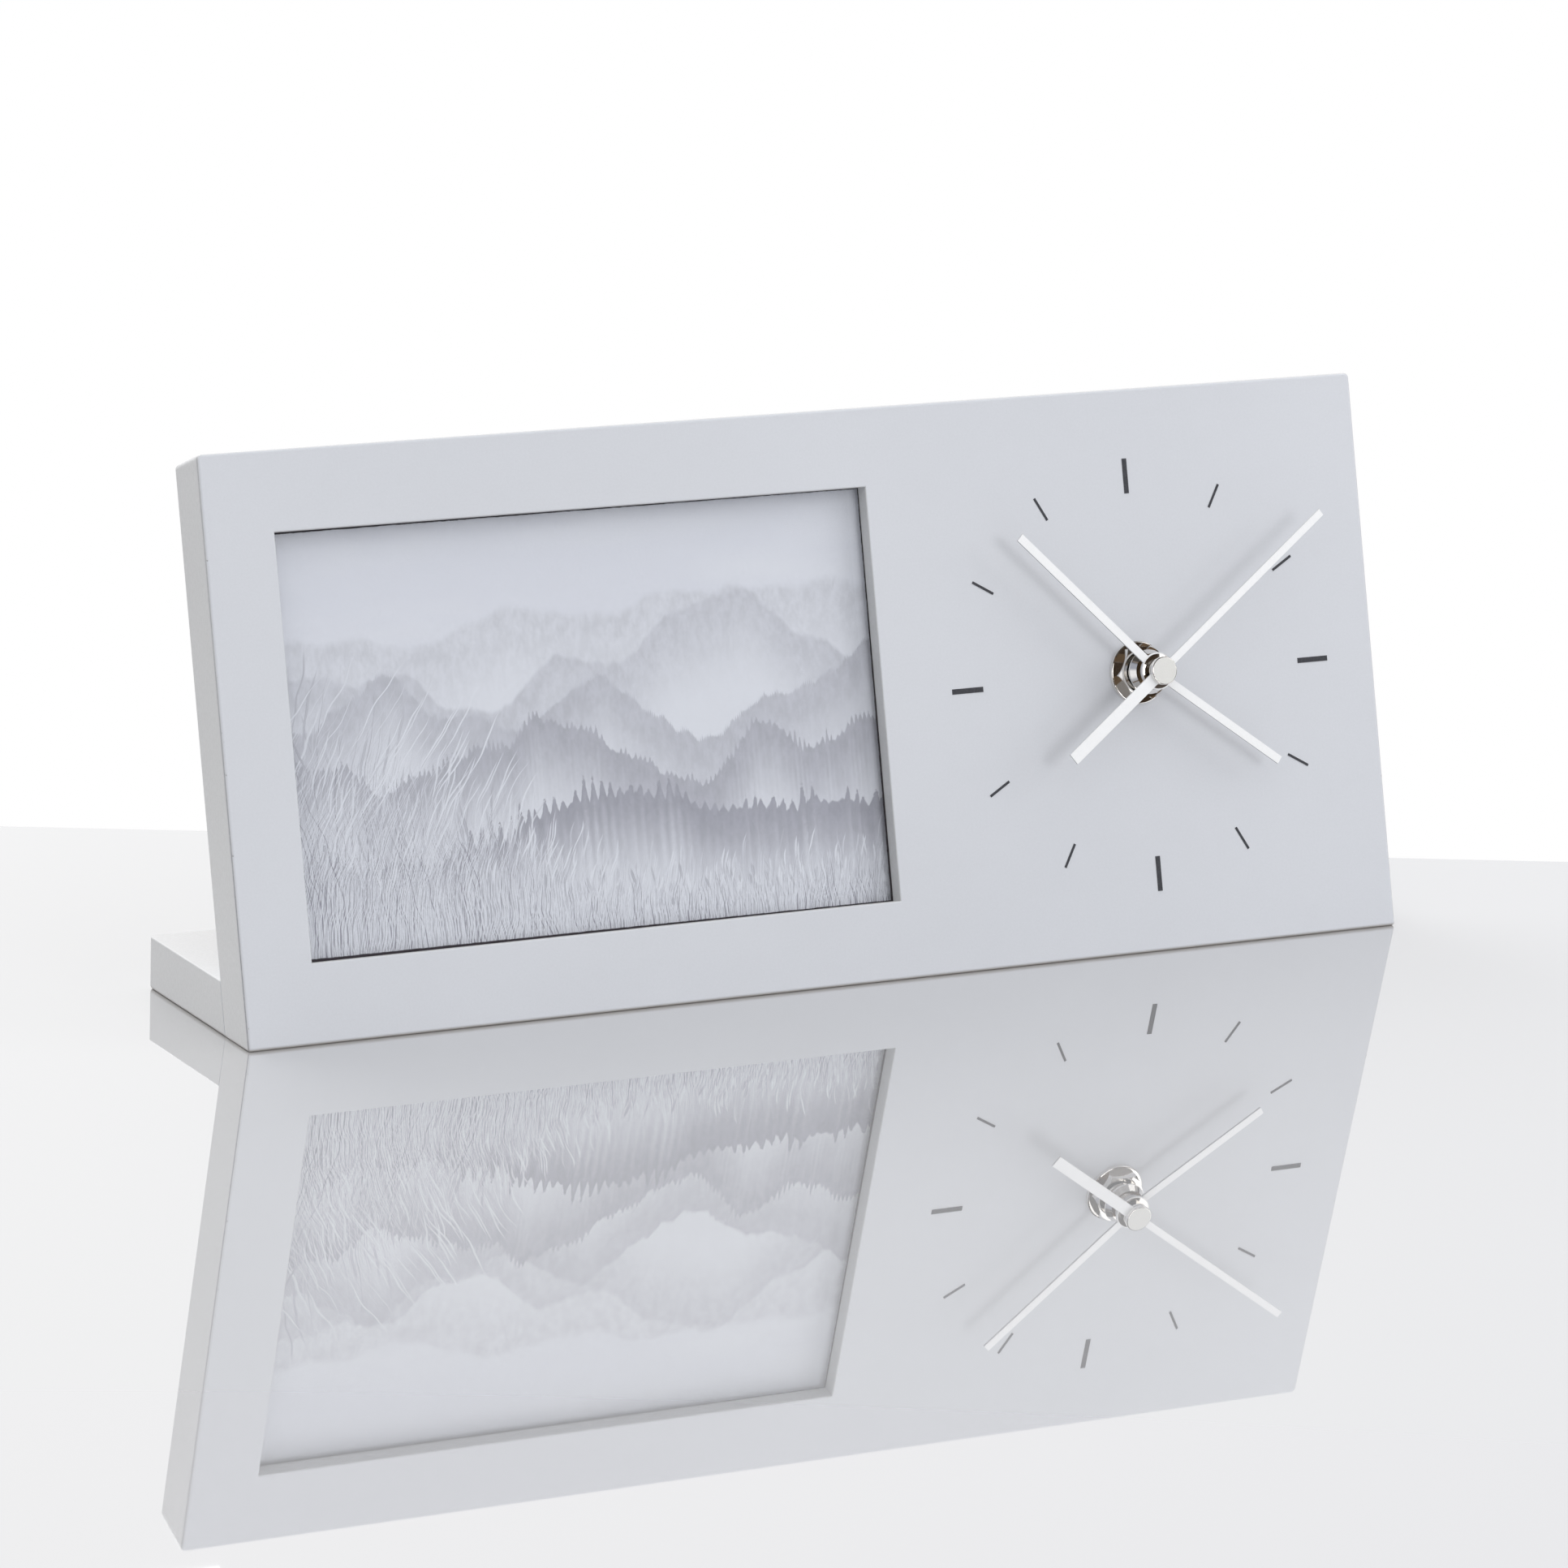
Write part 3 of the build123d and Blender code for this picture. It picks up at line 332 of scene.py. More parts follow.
def paint_nodes(shader, principled):
    """Satin sprayed paint, thin and fibrous on the cut edges, with pinholes and worn corners, and painted
    shade beside the upright arrises and along the foot over the table.
    """
    place = shader.board_place()
    along, up, out = shader.split(place)
    cut_edge = shader.ramp(shader.absolute(shader.facing()), 0.92, 0.6)
    fibre = shader.noise(shader.stretched(place, FIBRE_SCALES), 1.0, 5.0, 0.7)
    wear = shader.noise(place, WEAR_SCALE, 3.0, 0.7)

    side = shader.minus(RIGHT_EDGE, shader.absolute(along))
    front_edge = shader.math("ADD", side, shader.absolute(out))
    foot_edge = shader.math("ADD", shader.absolute(up), shader.absolute(out))
    worn = shader.ramp(shader.math("MINIMUM", front_edge, foot_edge), CHIP_RIM, CHIP_HEART)
    chip = shader.times(worn, shader.ramp(wear, 0.66, 0.70))
    speck = shader.math("MAXIMUM", pinholes(shader, place), chip)
    # Painted shade: darker and browner towards the table, standing in for the contact shadow
    contact_shade = shader.ramp(shader.split(shader.object_place())[2], CONTACT_SHADE_TOP, CONTACT_SHADE_BOTTOM)

    tone = paint_tone(shader, place, cut_edge, fibre)
    colour = shader.tinted(shader.mix(cut_edge, PAINT, PAINT_EDGE), tone)
    # Painted shade: a dark line beside the upright arrises, stronger low down
    colour = shader.mix(arris_shade_line(shader, up, out, side, front_edge, wear), colour, PAINT_ARRIS_SHADE)
    colour = shader.mix(shader.times(contact_shade, CONTACT_SHADE_SHARE), colour, PAINT_CONTACT_SHADE)
    colour = shader.mix(shader.times(speck, SPECK_SHARE), colour, PAINT_SPECK)

    fine = shader.noise(place, FINE_SCALE, 2.0, 0.6)
    shape = shader.bump(shader.noise(place, PEEL_SCALE, 2.0, 0.5), PEEL_DEPTH, 0.5)
    shape = shader.bump(fine, FINE_DEPTH, 0.55, shape)
    shape = shader.bump(shader.times(fibre, cut_edge), FIBRE_DEPTH, 0.5, shape)
    shape = shader.bump(shader.minus(1.0, speck), SPECK_DEPTH, 0.7, shape)
    rough = shader.ramp(fine, 0.2, 0.8, 0.40, 0.52)
    shader.fill(principled, {"Base Color": colour, "Normal": shape, "Roughness": rough})


# The print: a generic misty landscape in the greys of a monochrome photograph
SKY_HIGH = (0.795, 0.803, 0.890, 1)
SKY_LOW = (0.785, 0.792, 0.880, 1)
MIST = (0.830, 0.838, 0.915, 1)
SHADE = (0.265, 0.260, 0.325, 1)
PRINT_WIDTH = PRINT_HIGH.x - PRINT_LOW.x
PRINT_HEIGHT = (PRINT_HIGH.z - PRINT_LOW.z) / math.cos(TILT)
PRINT_BOTTOM = 15.34 * MM
PAPER_GRAIN_SCALE = 2400.0

# Clouds: how often they change across and upward, their seed and their scale
CLOUD_ACROSS, CLOUD_UPWARD, CLOUD_SEED = 2.0, 6.5, 4.0
SKY_CLOUD_SCALE = 1.1

# How far below its line a ridge has sunk in the mist, how its woods are stretched and scaled, rows of trees,
# and how many trees and boughs there are to a tree's height
MIST_DEPTH_SHARE = 0.22
WOOD_ACROSS, WOOD_SCALE = 3.0, 26.0
TREE_ROWS = 2
TREES_SHARE, BOUGHS_SHARE = 3.0, 5.0

# How far the wind moves the grass, how often that changes, and how a blade narrows upward
SWAY_SHARE = 0.06
SWAY_SCALE = 5.0
BLADE_POWER = 1.6

# Each ridge: height of its line, how much that line rises and falls, its waves across, tone, tree height,
# softness of its edge, seed
RIDGE_SHARES = (
    (0.70, 0.16, 1.9, 0.80, 0.0, 0.012, 3.1),
    (0.60, 0.22, 2.6, 0.68, 0.0, 0.007, 11.7),
    (0.50, 0.20, 3.6, 0.56, 0.009, 0.004, 23.9),
    (0.38, 0.24, 3.0, 0.40, 0.022, 0.003, 37.3),
    (0.24, 0.16, 2.4, 0.26, 0.045, 0.003, 52.1),
)
# Each row of grass: blades across, lean, height at the left, height at the right, blade width, tone, seed
GRASS_SHARES = (
    (300.0, 0.30, 0.66, 0.16, 0.34, 0.55, 4.3),
    (240.0, -0.16, 0.70, 0.12, 0.30, 0.24, 17.9),
    (330.0, 0.52, 0.62, 0.18, 0.32, 0.70, 29.1),
    (210.0, 0.16, 0.80, 0.14, 0.26, 0.12, 41.7),
    (280.0, 0.74, 0.58, 0.22, 0.30, 0.40, 63.3),
    (230.0, 0.36, 0.76, 0.20, 0.24, 0.85, 77.9),
    (170.0, -0.34, 0.66, 0.16, 0.22, 0.08, 91.3),
    (260.0, 0.60, 0.70, 0.20, 0.24, 1.00, 107.9),
)


def print_grey(share):
    """A grey between the darkest shade and the mist."""
    return tuple(dark + (light - dark) * share for dark, light in zip(SHADE, MIST))


def cells(shader, place, count, seed):
    """Random cells along a line: the distance to each one's middle and two random values."""
    where = shader.math("MULTIPLY_ADD", place, count, seed)
    found = shader.node("TexVoronoi", voronoi_dimensions="1D")
    shader.fill(found, {"Scale": 1.0, "W": where})
    values = shader.split(found.outputs["Color"])
    return found.outputs["Distance"], values[0], values[1]


def with_trees(shader, across, up, height, tree, seed):
    """The height of a ridge's line with rows of ragged, pointed trees on it."""
    bough = shader.noise(shader.combine(across, up), BOUGHS_SHARE / tree, 4.0, 0.8)
    ragged = shader.ramp(bough, 0.25, 0.75, 0.6, 1.15)
    for row in range(TREE_ROWS):
        distance, size = cells(shader, across, TREES_SHARE / tree, seed + row)[:2]
        spire = shader.ramp(distance, 0.0, 0.45, 1.0, 0.0, smooth=False)
        spire = shader.times(spire, ragged, size)
        height = shader.math("MAXIMUM", height, shader.math("MULTIPLY_ADD", spire, tree, height))
    return height


def ridge_layer(shader, across, up, below, shares):
    """One range of hills with its trees, sunk in mist at its foot, over the picture below it."""
    level, swing, waves, tone, tree, soft, seed = shares
    line = shader.noise(shader.math("MULTIPLY_ADD", across, waves, seed), 1.0, 6.0, 0.5, "1D")
    height = shader.math("MULTIPLY_ADD", shader.minus(line, 0.5), swing * 2, level)
    if tree:
        height = with_trees(shader, across, up, height, tree, seed)
    depth = shader.minus(height, up)
    sunk = shader.ramp(depth, 0.0, MIST_DEPTH_SHARE)
    wood_place = shader.combine(shader.times(across, WOOD_ACROSS), up, seed)
    wood = shader.ramp(shader.noise(wood_place, WOOD_SCALE, 4.0, 0.7), 0.3, 0.7, 0.93, 1.07)
    body = shader.mix(shader.times(sunk, 0.9), shader.tinted(print_grey(tone), wood), MIST)
    return shader.mix(shader.ramp(depth, -soft, soft), below, body)


def grass_layer(shader, across, up, below, shares):
    """One row of tall bending grass, some of it with plumes, over the picture below it."""
    count, lean, left, right, width, tone, seed = shares
    bend = shader.times(up, up, lean)
    sway = shader.times(shader.noise(shader.combine(across, up, seed), SWAY_SCALE, 2.0), SWAY_SHARE)
    root = shader.math("ADD", shader.minus(across, bend), sway)
    distance, size, kind = cells(shader, root, count, seed)
    tall = shader.ramp(root, 0.02, 0.62, left, right)
    height = shader.times(tall, shader.ramp(size, 0.0, 1.0, 0.3, 1.0, smooth=False))
    risen = shader.math("DIVIDE", up, height)
    blade = shader.minus(1.0, shader.math("POWER", risen, BLADE_POWER))
    plume = shader.times(shader.ramp(risen, 0.68, 0.82), shader.ramp(risen, 1.0, 0.88))
    plume = shader.times(plume, shader.ramp(kind, 0.62, 0.66, 0.0, 1.5))
    half = shader.times(shader.math("ADD", blade, plume), width)
    inside = shader.ramp(shader.minus(half, distance), 0.0, 0.10)
    inside = shader.times(inside, shader.ramp(risen, 1.0, 0.97))
    lit = shader.ramp(kind, 0.1, 1.0, 0.0, 0.75)
    rounded = shader.ramp(distance, 0.0, width, 0.0, 0.25)
    colour = shader.mix(shader.math("SUBTRACT", lit, rounded, clamp=True), print_grey(tone), MIST)
    return shader.mix(shader.times(inside, 0.9), below, colour)


def print_nodes(shader, principled):
    """Sky, misty ridges and rows of grass, on matt paper with a fine grain."""
    place = shader.board_place()
    along, up, _ = shader.split(place)
    across = shader.math("DIVIDE", shader.minus(along, PRINT_LOW.x), PRINT_WIDTH)
    share_up = shader.math("DIVIDE", shader.minus(up, PRINT_BOTTOM), PRINT_HEIGHT)
    picture = shader.mix(shader.ramp(share_up, 0.5, 1.05), SKY_LOW, SKY_HIGH)
    wide, high = shader.times(across, CLOUD_ACROSS), shader.times(share_up, CLOUD_UPWARD)
    cloud = shader.noise(shader.combine(wide, high, CLOUD_SEED), SKY_CLOUD_SCALE, 6.0, 0.62)
    cloud = shader.ramp(cloud, 0.42, 0.72, 0.0, 0.8)
    picture = shader.mix(cloud, picture, MIST)
    for shares in RIDGE_SHARES:
        picture = ridge_layer(shader, across, share_up, picture, shares)
    for shares in GRASS_SHARES:
        picture = grass_layer(shader, across, share_up, picture, shares)
    grain = shader.ramp(shader.noise(place, PAPER_GRAIN_SCALE, 2.0, 0.7), 0.2, 0.8, 0.97, 1.03)
    shader.fill(principled, {"Base Color": shader.tinted(picture, grain)})


# Glass, and painted shade for the dark gap round it under the lip, drawn as a dark band on the pane's front.
# Each width of the gap is given at its two ends: from left to right, or from bottom to top.
CLEAR = (0.95, 0.96, 0.96, 1)
FILM_SCALE = 90.0
# Painted shade of the gap under the lip
GAP_SHADE_COLOUR = (0.045, 0.040, 0.046, 1)
GAP_BOTTOM_WIDTHS = (0.62 * MM, 0.26 * MM)
GAP_TOP_WIDTHS = (0.36 * MM, 0.16 * MM)
GAP_RIGHT_WIDTHS = (0.50 * MM, 0.24 * MM)
GAP_LEFT_WIDTH = 0.10 * MM
GAP_ROUGH = 0.05 * MM
GAP_SOFT = 0.10 * MM
GAP_ROUGH_SCALE = 500.0


def gap_shade_line(shader, place):
    """Painted shade: the dark line of the gap round the pane under the lip, broadest at the lower left
    corner.
    """
    along, up, out = shader.split(place)
    across = shader.minus(along, WINDOW_LEFT)
    from_right = shader.minus(WINDOW_WIDTH, across)
    from_bottom = shader.minus(up, WINDOW_BOTTOM)
    from_top = shader.minus(WINDOW_HEIGHT, from_bottom)
    noise = shader.noise(place, GAP_ROUGH_SCALE, 4.0, 0.7)
    rough = shader.ramp(noise, 0.3, 0.7, -GAP_ROUGH, GAP_ROUGH)
    lower = shader.ramp(across, 0.0, WINDOW_WIDTH, *GAP_BOTTOM_WIDTHS, smooth=False)
    upper = shader.ramp(across, 0.0, WINDOW_WIDTH, *GAP_TOP_WIDTHS, smooth=False)
    right = shader.ramp(from_bottom, 0.0, WINDOW_HEIGHT, *GAP_RIGHT_WIDTHS, smooth=False)
    bands = ((from_right, right), (from_bottom, lower), (from_top, upper), (across, GAP_LEFT_WIDTH))
    line = 0.0
    for distance, width in bands:
        over = shader.minus(shader.math("ADD", width, rough), distance)
        line = shader.math("MAXIMUM", line, shader.ramp(over, -GAP_SOFT, GAP_SOFT))
    front = shader.ramp(out, -LIP - 2 * GAP_SOFT, -LIP - GAP_SOFT)
    return shader.times(line, front)


def glass_nodes(shader, principled):
    """Clear glass with the faintest film, open to light for what lies behind it, with painted shade of the
    gap round its edge.
    """
    place = shader.board_place()
    film = shader.noise(place, FILM_SCALE, 4.0, 0.6)
    shader.fill(principled, {"Roughness": shader.ramp(film, 0.35, 0.8, 0.0, 0.045)})
    paths = shader.node("LightPath").outputs
    passing = shader.math("MAXIMUM", paths["Is Shadow Ray"], paths["Is Diffuse Ray"])
    clear = shader.node("BsdfTransparent", {"Color": CLEAR})
    either = shader.node("MixShader", {0: passing, 1: principled.outputs[0], 2: clear.outputs[0]})
    # Painted shade of the gap under the lip: a dark diffuse band on the pane's front
    gap_shade = shader.node("BsdfDiffuse", {"Color": GAP_SHADE_COLOUR})
    line = gap_shade_line(shader, place)
    whole = shader.node("MixShader", {0: line, 1: either.outputs[0], 2: gap_shade.outputs[0]})
    shader.show(whole.outputs[0])


# Nickel of the hub. The cap's flat front stands out from the board's face by CAP_FRONT, and its satin grain
# starts within a skin of it.
NICKEL = (0.90, 0.88, 0.85, 1)
NICKEL_SATIN = (0.86, 0.86, 0.84, 1)
CAP_FRONT = 12.2 * MM
CAP_SKIN = 0.02 * MM
CAP_FLAT_RADIUS = 2.9 * MM
CAP_FLAT_SOFT = 0.05 * MM
WAVE_SCALE, WAVE_DEPTH = 260.0, 0.006 * MM
MARK_SCALE = 3200.0
RING_SCALE = 9000.0
SATIN_SCALE, SATIN_DEPTH = 5200.0, 0.002 * MM


def polished_nodes(shader, principled):
    """Bright nickel plate with faint waviness and tiny marks."""
    place = shader.object_place()
    wave = shader.noise(place, WAVE_SCALE, 2.0)
    fine = shader.noise(place, MARK_SCALE, 2.0, 0.6)
    shape = shader.bump(wave, WAVE_DEPTH, 0.3)
    shader.fill(principled, {"Normal": shape, "Roughness": shader.ramp(fine, 0.3, 0.8, 0.045, 0.10)})


def satin_cap_nodes(shader, principled):
    """Polished all round, with a satin front of fine turned grain."""
    along, up, out = shader.split(shader.board_place())
    from_shaft = shader.combine(shader.minus(along, SHAFT_X), shader.minus(up, SHAFT_UP))
    radius = shader.vector("LENGTH", from_shaft)
    flat = shader.ramp(radius, CAP_FLAT_RADIUS + CAP_FLAT_SOFT, CAP_FLAT_RADIUS - CAP_FLAT_SOFT)
    satin = shader.times(flat, shader.ramp(out, CAP_FRONT - 2 * CAP_SKIN, CAP_FRONT - CAP_SKIN))
    rings = shader.noise(shader.times(radius, RING_SCALE), 1.0, 3.0, 0.7, "1D")
    fine = shader.noise(shader.object_place(), SATIN_SCALE, 2.0, 0.7)
    grained = shader.tinted(NICKEL_SATIN, shader.ramp(fine, 0.2, 0.8, 0.95, 1.03))
    rough = shader.ramp(rings, 0.3, 0.7, 0.40, 0.52)
    height = shader.times(shader.math("ADD", rings, fine), satin)
    shader.fill(principled, {
        "Base Color": shader.mix(satin, NICKEL, grained),
        "Metallic": shader.ramp(satin, 0, 1, 1.0, 0.35, smooth=False),
        "Roughness": shader.ramp(satin, 0, 1, 0.07, rough, smooth=False),
        "Normal": shader.bump(height, SATIN_DEPTH, 0.4),
    })


# Hands and marks
HAND_FRONT = (0.93, 0.94, 0.96, 1)
HAND_EDGE = (0.60, 0.60, 0.62, 1)
HAND_BACK = (0.20, 0.13, 0.07, 1)
HAND_GRAIN_SCALE, HAND_GRAIN_DEPTH = 2200.0, 0.004 * MM
INK_DARK = (0.034, 0.036, 0.046, 1)
INK_LIGHT = (0.060, 0.062, 0.074, 1)
INK_SCALE, INK_DEPTH = 2600.0, 0.01 * MM


def hand_nodes(shader, principled):
    """White satin paint on the front, grey sheared edges and bare dull brass at the back."""
    facing = shader.facing()
    edge = shader.ramp(shader.absolute(facing), 0.8, 0.5)
    back = shader.ramp(facing, -0.5, -0.8)
    grain = shader.noise(shader.object_place(), HAND_GRAIN_SCALE, 2.0, 0.6)
    colour = shader.mix(back, shader.mix(edge, HAND_FRONT, HAND_EDGE), HAND_BACK)
    shader.fill(principled, {
        "Metallic": shader.times(back, 0.6),
        "Base Color": shader.tinted(colour, shader.ramp(grain, 0.2, 0.8, 0.97, 1.0)),
        "Normal": shader.bump(grain, HAND_GRAIN_DEPTH, 0.4),
    })


def ink_nodes(shader, principled):
    """Charcoal ink, a little uneven in tone."""
    blot = shader.noise(shader.object_place(), INK_SCALE, 3.0, 0.6)
    colour = shader.mix(shader.ramp(blot, 0.3, 0.75), INK_DARK, INK_LIGHT)
    shader.fill(principled, {"Base Color": colour, "Normal": shader.bump(blot, INK_DEPTH, 0.5)})


# How often a moulded or matted material changes a little in shade
SHADE_SCALE = 60.0

# Moulded and matted materials: name, dark colour, light colour, grain scale, grain depth, settings, CAD nodes
MOULDED = (
    ("black_plastic", (0.012, 0.012, 0.014, 1), (0.020, 0.020, 0.022, 1), 1500.0, 0.02 * MM,
     {"IOR": 1.5}, ("movement_case", "rear_cover", "setting_knob")),
    ("white_plastic", (0.70, 0.68, 0.60, 1), (0.76, 0.74, 0.67, 1), 1100.0, 0.008 * MM,
     {}, ("middle_plate", "hour_wheel", "motion_wheel", "centre_wheel", "third_wheel", "intermediate_wheel",
          "rotor", "coil_bobbin")),
    ("washer_rubber", (0.010, 0.010, 0.010, 1), (0.018, 0.018, 0.018, 1), 700.0, 0.03 * MM,
     {"Specular IOR Level": 0.3}, ("rubber_washer",)),
    ("grey_card", (0.33, 0.31, 0.27, 1), (0.40, 0.38, 0.34, 1), 500.0, 0.03 * MM,
     {"Specular IOR Level": 0.2}, ("filler_card",)),
    ("circuit_green", (0.006, 0.060, 0.022, 1), (0.010, 0.090, 0.034, 1), 700.0, 0.006 * MM,
     {}, ("circuit_board",)),
    ("chip_resin", (0.006, 0.006, 0.006, 1), (0.010, 0.010, 0.010, 1), 400.0, 0.004 * MM,
     {"Coat Weight": 0.4}, ("clock_chip",)),
)

# How deep a brushed grain is, and the turn buttons with their screws
BRUSHED_DEPTH = 0.006 * MM
TURN_BUTTONS = tuple(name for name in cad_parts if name.startswith("turn_button"))

# Sheet and bar metals: name, dark colour, light colour, grain scales along, up and out, least and greatest
# roughness, CAD nodes
BRUSHED = (
    ("zinc_steel", (0.56, 0.56, 0.54, 1), (0.70, 0.70, 0.68, 1), (150.0, 2400.0, 2400.0), 0.28, 0.42,
     TURN_BUTTONS),
    ("contact_steel", (0.60, 0.58, 0.54, 1), (0.72, 0.70, 0.66, 1), (900.0, 1800.0, 300.0), 0.20, 0.32,
     ("positive_contact", "negative_contact")),
    ("soft_iron", (0.30, 0.30, 0.31, 1), (0.42, 0.42, 0.43, 1), (400.0, 400.0, 400.0), 0.35, 0.5,
     ("stator", "rotor_magnet")),
    ("turned_brass", (0.56, 0.40, 0.17, 1), (0.68, 0.50, 0.23, 1), (1800.0, 1800.0, 1800.0), 0.18, 0.3,
     ("minute_arbor", "second_wheel")),
    ("crystal_can", (0.66, 0.66, 0.66, 1), (0.78, 0.78, 0.78, 1), (300.0, 1500.0, 1500.0), 0.14, 0.24,
     ("quartz_crystal",)),
)


def moulded_nodes(dark, light, scale, depth):
    """Nodes for moulded plastic with a spark-eroded grain, or for matted card."""
    def build(shader, principled):
        place = shader.object_place()
        grain = shader.noise(place, scale, 3.0, 0.6)
        shade = shader.noise(place, SHADE_SCALE, 2.0)
        shader.fill(principled, {
            "Base Color": shader.mix(shader.ramp(shade, 0.3, 0.7), dark, light),
            "Normal": shader.bump(grain, depth, 0.5),
            "Roughness": shader.ramp(grain, 0.2, 0.8, 0.38, 0.6),
        })
    return build


def brushed_nodes(dark, light, scales, rough_low, rough_high):
    """Nodes for sheet or bar metal with a directional grain."""
    def build(shader, principled):
        grain = shader.noise(shader.stretched(shader.board_place(), scales), 1.0, 3.0, 0.6)
        shader.fill(principled, {
            "Base Color": shader.mix(shader.ramp(grain, 0.3, 0.7), dark, light),
            "Normal": shader.bump(grain, BRUSHED_DEPTH, 0.5),
            "Roughness": shader.ramp(grain, 0.2, 0.8, rough_low, rough_high),
        })
    return build


# Hardboard, dowels, coil and cell. The cell's bare foot, bare head and light band are measured from its ends.
HARDBOARD_DARK = (0.105, 0.058, 0.030, 1)
HARDBOARD_LIGHT = (0.190, 0.110, 0.062, 1)
HARDBOARD_FIBRE = (0.30, 0.19, 0.11, 1)
HARDBOARD_DEPTH = 0.04 * MM
MAT_SCALE, MAT_STRETCH = 260.0, (1.0, 1.6, 1.0)
STRAND_SCALE, STRAND_STRETCH = 900.0, (2.2, 0.5, 1.0)
BEECH_LIGHT = (0.56, 0.36, 0.19, 1)
BEECH_DARK = (0.40, 0.23, 0.11, 1)
FLECK_SCALES = (900.0, 120.0, 900.0)
COPPER = (0.50, 0.17, 0.07, 1)
WIRE_PITCH = 0.12 * MM
WIRE_DEPTH = 0.02 * MM
SLEEVE_BLACK = (0.020, 0.022, 0.026, 1)
SLEEVE_GREY = (0.30, 0.31, 0.33, 1)
CELL_METAL = (0.62, 0.62, 0.60, 1)
SLEEVE_SCALE = 900.0
CELL_FOOT = 0.9 * MM
CELL_HEAD = 2.6 * MM
CELL_BAND = 14.1 * MM
CELL_BLEND = 0.1 * MM


def hardboard_nodes(shader, principled):
    """Brown hardboard with matted fibres."""
    place = shader.board_place()
    mat = shader.noise(shader.stretched(place, MAT_STRETCH), MAT_SCALE, 6.0, 0.7)
    fibre = shader.noise(shader.stretched(place, STRAND_STRETCH), STRAND_SCALE, 4.0, 0.6)
    colour = shader.mix(shader.ramp(mat, 0.3, 0.7), HARDBOARD_DARK, HARDBOARD_LIGHT)
    shader.fill(principled, {
        "Base Color": shader.mix(shader.ramp(fibre, 0.6, 0.75, 0.0, 0.5), colour, HARDBOARD_FIBRE),
        "Normal": shader.bump(fibre, HARDBOARD_DEPTH, 0.6),
        "Roughness": shader.ramp(mat, 0.2, 0.8, 0.5, 0.75),
    })


def wood_nodes(shader, principled):
    """Bare beech with short flecks."""
    fleck = shader.noise(shader.stretched(shader.object_place(), FLECK_SCALES), 1.0, 4.0, 0.6)
    colour = shader.mix(shader.ramp(fleck, 0.35, 0.7), BEECH_LIGHT, BEECH_DARK)
    shader.fill(principled, {"Base Color": colour})


def copper_nodes(shader, principled):
    """Enamelled wire, seen as fine turns."""
    along = shader.split(shader.board_place())[0]
    turns = shader.math("SINE", shader.times(along, 2 * math.pi / WIRE_PITCH))
    rough = shader.ramp(turns, -1.0, 1.0, 0.42, 0.28)
    shader.fill(principled, {"Normal": shader.bump(turns, WIRE_DEPTH, 0.7), "Roughness": rough})


def battery_nodes(shader, principled):
    """A plain shrunk sleeve, with bare metal at the two ends."""
    along = shader.split(shader.board_place())[0]
    foot, head, band = CELL_LOW.x + CELL_FOOT, CELL_HIGH.x - CELL_HEAD, CELL_HIGH.x - CELL_BAND
    bare_left = shader.ramp(along, foot, foot + CELL_BLEND, 1.0, 0.0)
    bare_right = shader.ramp(along, head, head + CELL_BLEND)
    bare = shader.math("MAXIMUM", bare_left, bare_right)
    sleeve = shader.mix(shader.ramp(along, band, band + CELL_BLEND), SLEEVE_BLACK, SLEEVE_GREY)
    fine = shader.noise(shader.object_place(), SLEEVE_SCALE, 2.0)
    shader.fill(principled, {
        "Base Color": shader.mix(bare, sleeve, CELL_METAL),
        "Metallic": bare,
        "Roughness": shader.ramp(fine, 0.2, 0.8, 0.22, 0.34),
    })


PANE_SETTINGS = {"Base Color": (0.985, 0.992, 0.990, 1), "Transmission Weight": 1.0, "IOR": 1.5}
COPPER_SETTINGS = {"Base Color": COPPER, "Metallic": 1.0, "Coat Weight": 0.6}

# The other materials: name, settings, what adds the nodes, CAD nodes
OTHERS = (
    ("board_paint", {"Roughness": 0.5, "IOR": 1.38}, paint_nodes, ("front_panel", "base_board")),
    ("print_paper", {"Roughness": 0.55, "Specular IOR Level": 0.25}, print_nodes, ("photo_print",)),
    ("clear_glass", PANE_SETTINGS, glass_nodes, ("window_glass",)),
    ("nickel_plate", {"Base Color": NICKEL, "Metallic": 1.0}, polished_nodes,
     ("hour_hub", "minute_hub", "second_hub", "face_washer", "hex_nut", "threaded_bush")),
    ("nickel_satin", {}, satin_cap_nodes, ("hand_cap",)),
    ("hand_paint", {"Roughness": 0.35}, hand_nodes, ("hour_hand", "minute_hand", "second_hand")),
    ("mark_ink", {"Roughness": 0.6}, ink_nodes, ("hour_marks",)),
    ("hardboard", {}, hardboard_nodes, ("backing_board",)),
    ("dowel_wood", {"Roughness": 0.7}, wood_nodes, ("base_dowels",)),
    ("coil_copper", COPPER_SETTINGS, copper_nodes, ("coil",)),
    ("battery_sleeve", {}, battery_nodes, ("battery",)),
)


def dress_all():
    """Gives every CAD node its material."""
    for name, settings, build, nodes in OTHERS:
        dress(surface(name, settings, build), *nodes)
    for name, dark, light, scale, depth, settings, nodes in MOULDED:
        dress(surface(name, settings, moulded_nodes(dark, light, scale, depth)), *nodes)
    for name, dark, light, scales, rough_low, rough_high, nodes in BRUSHED:
        build = brushed_nodes(dark, light, scales, rough_low, rough_high)
        dress(surface(name, {"Metallic": 1.0}, build), *nodes)


# The table
FLOOR_NEAR = 1900.0 * MM
FLOOR_SIDE = 3000.0 * MM
TABLE_WHITE = (0.49, 0.49, 0.50, 1)
TABLE_SETTINGS = {"Base Color": TABLE_WHITE, "Roughness": 0.6, "Specular IOR Level": 0.0}
MIRROR_WHITE = (1.0, 1.0, 1.0, 1)
MIRROR_ROUGHNESS = 0.012
MIRROR_IOR = 1.5
GLOSS_PLAIN = 0.43
GLOSS_GRAZING = 0.9


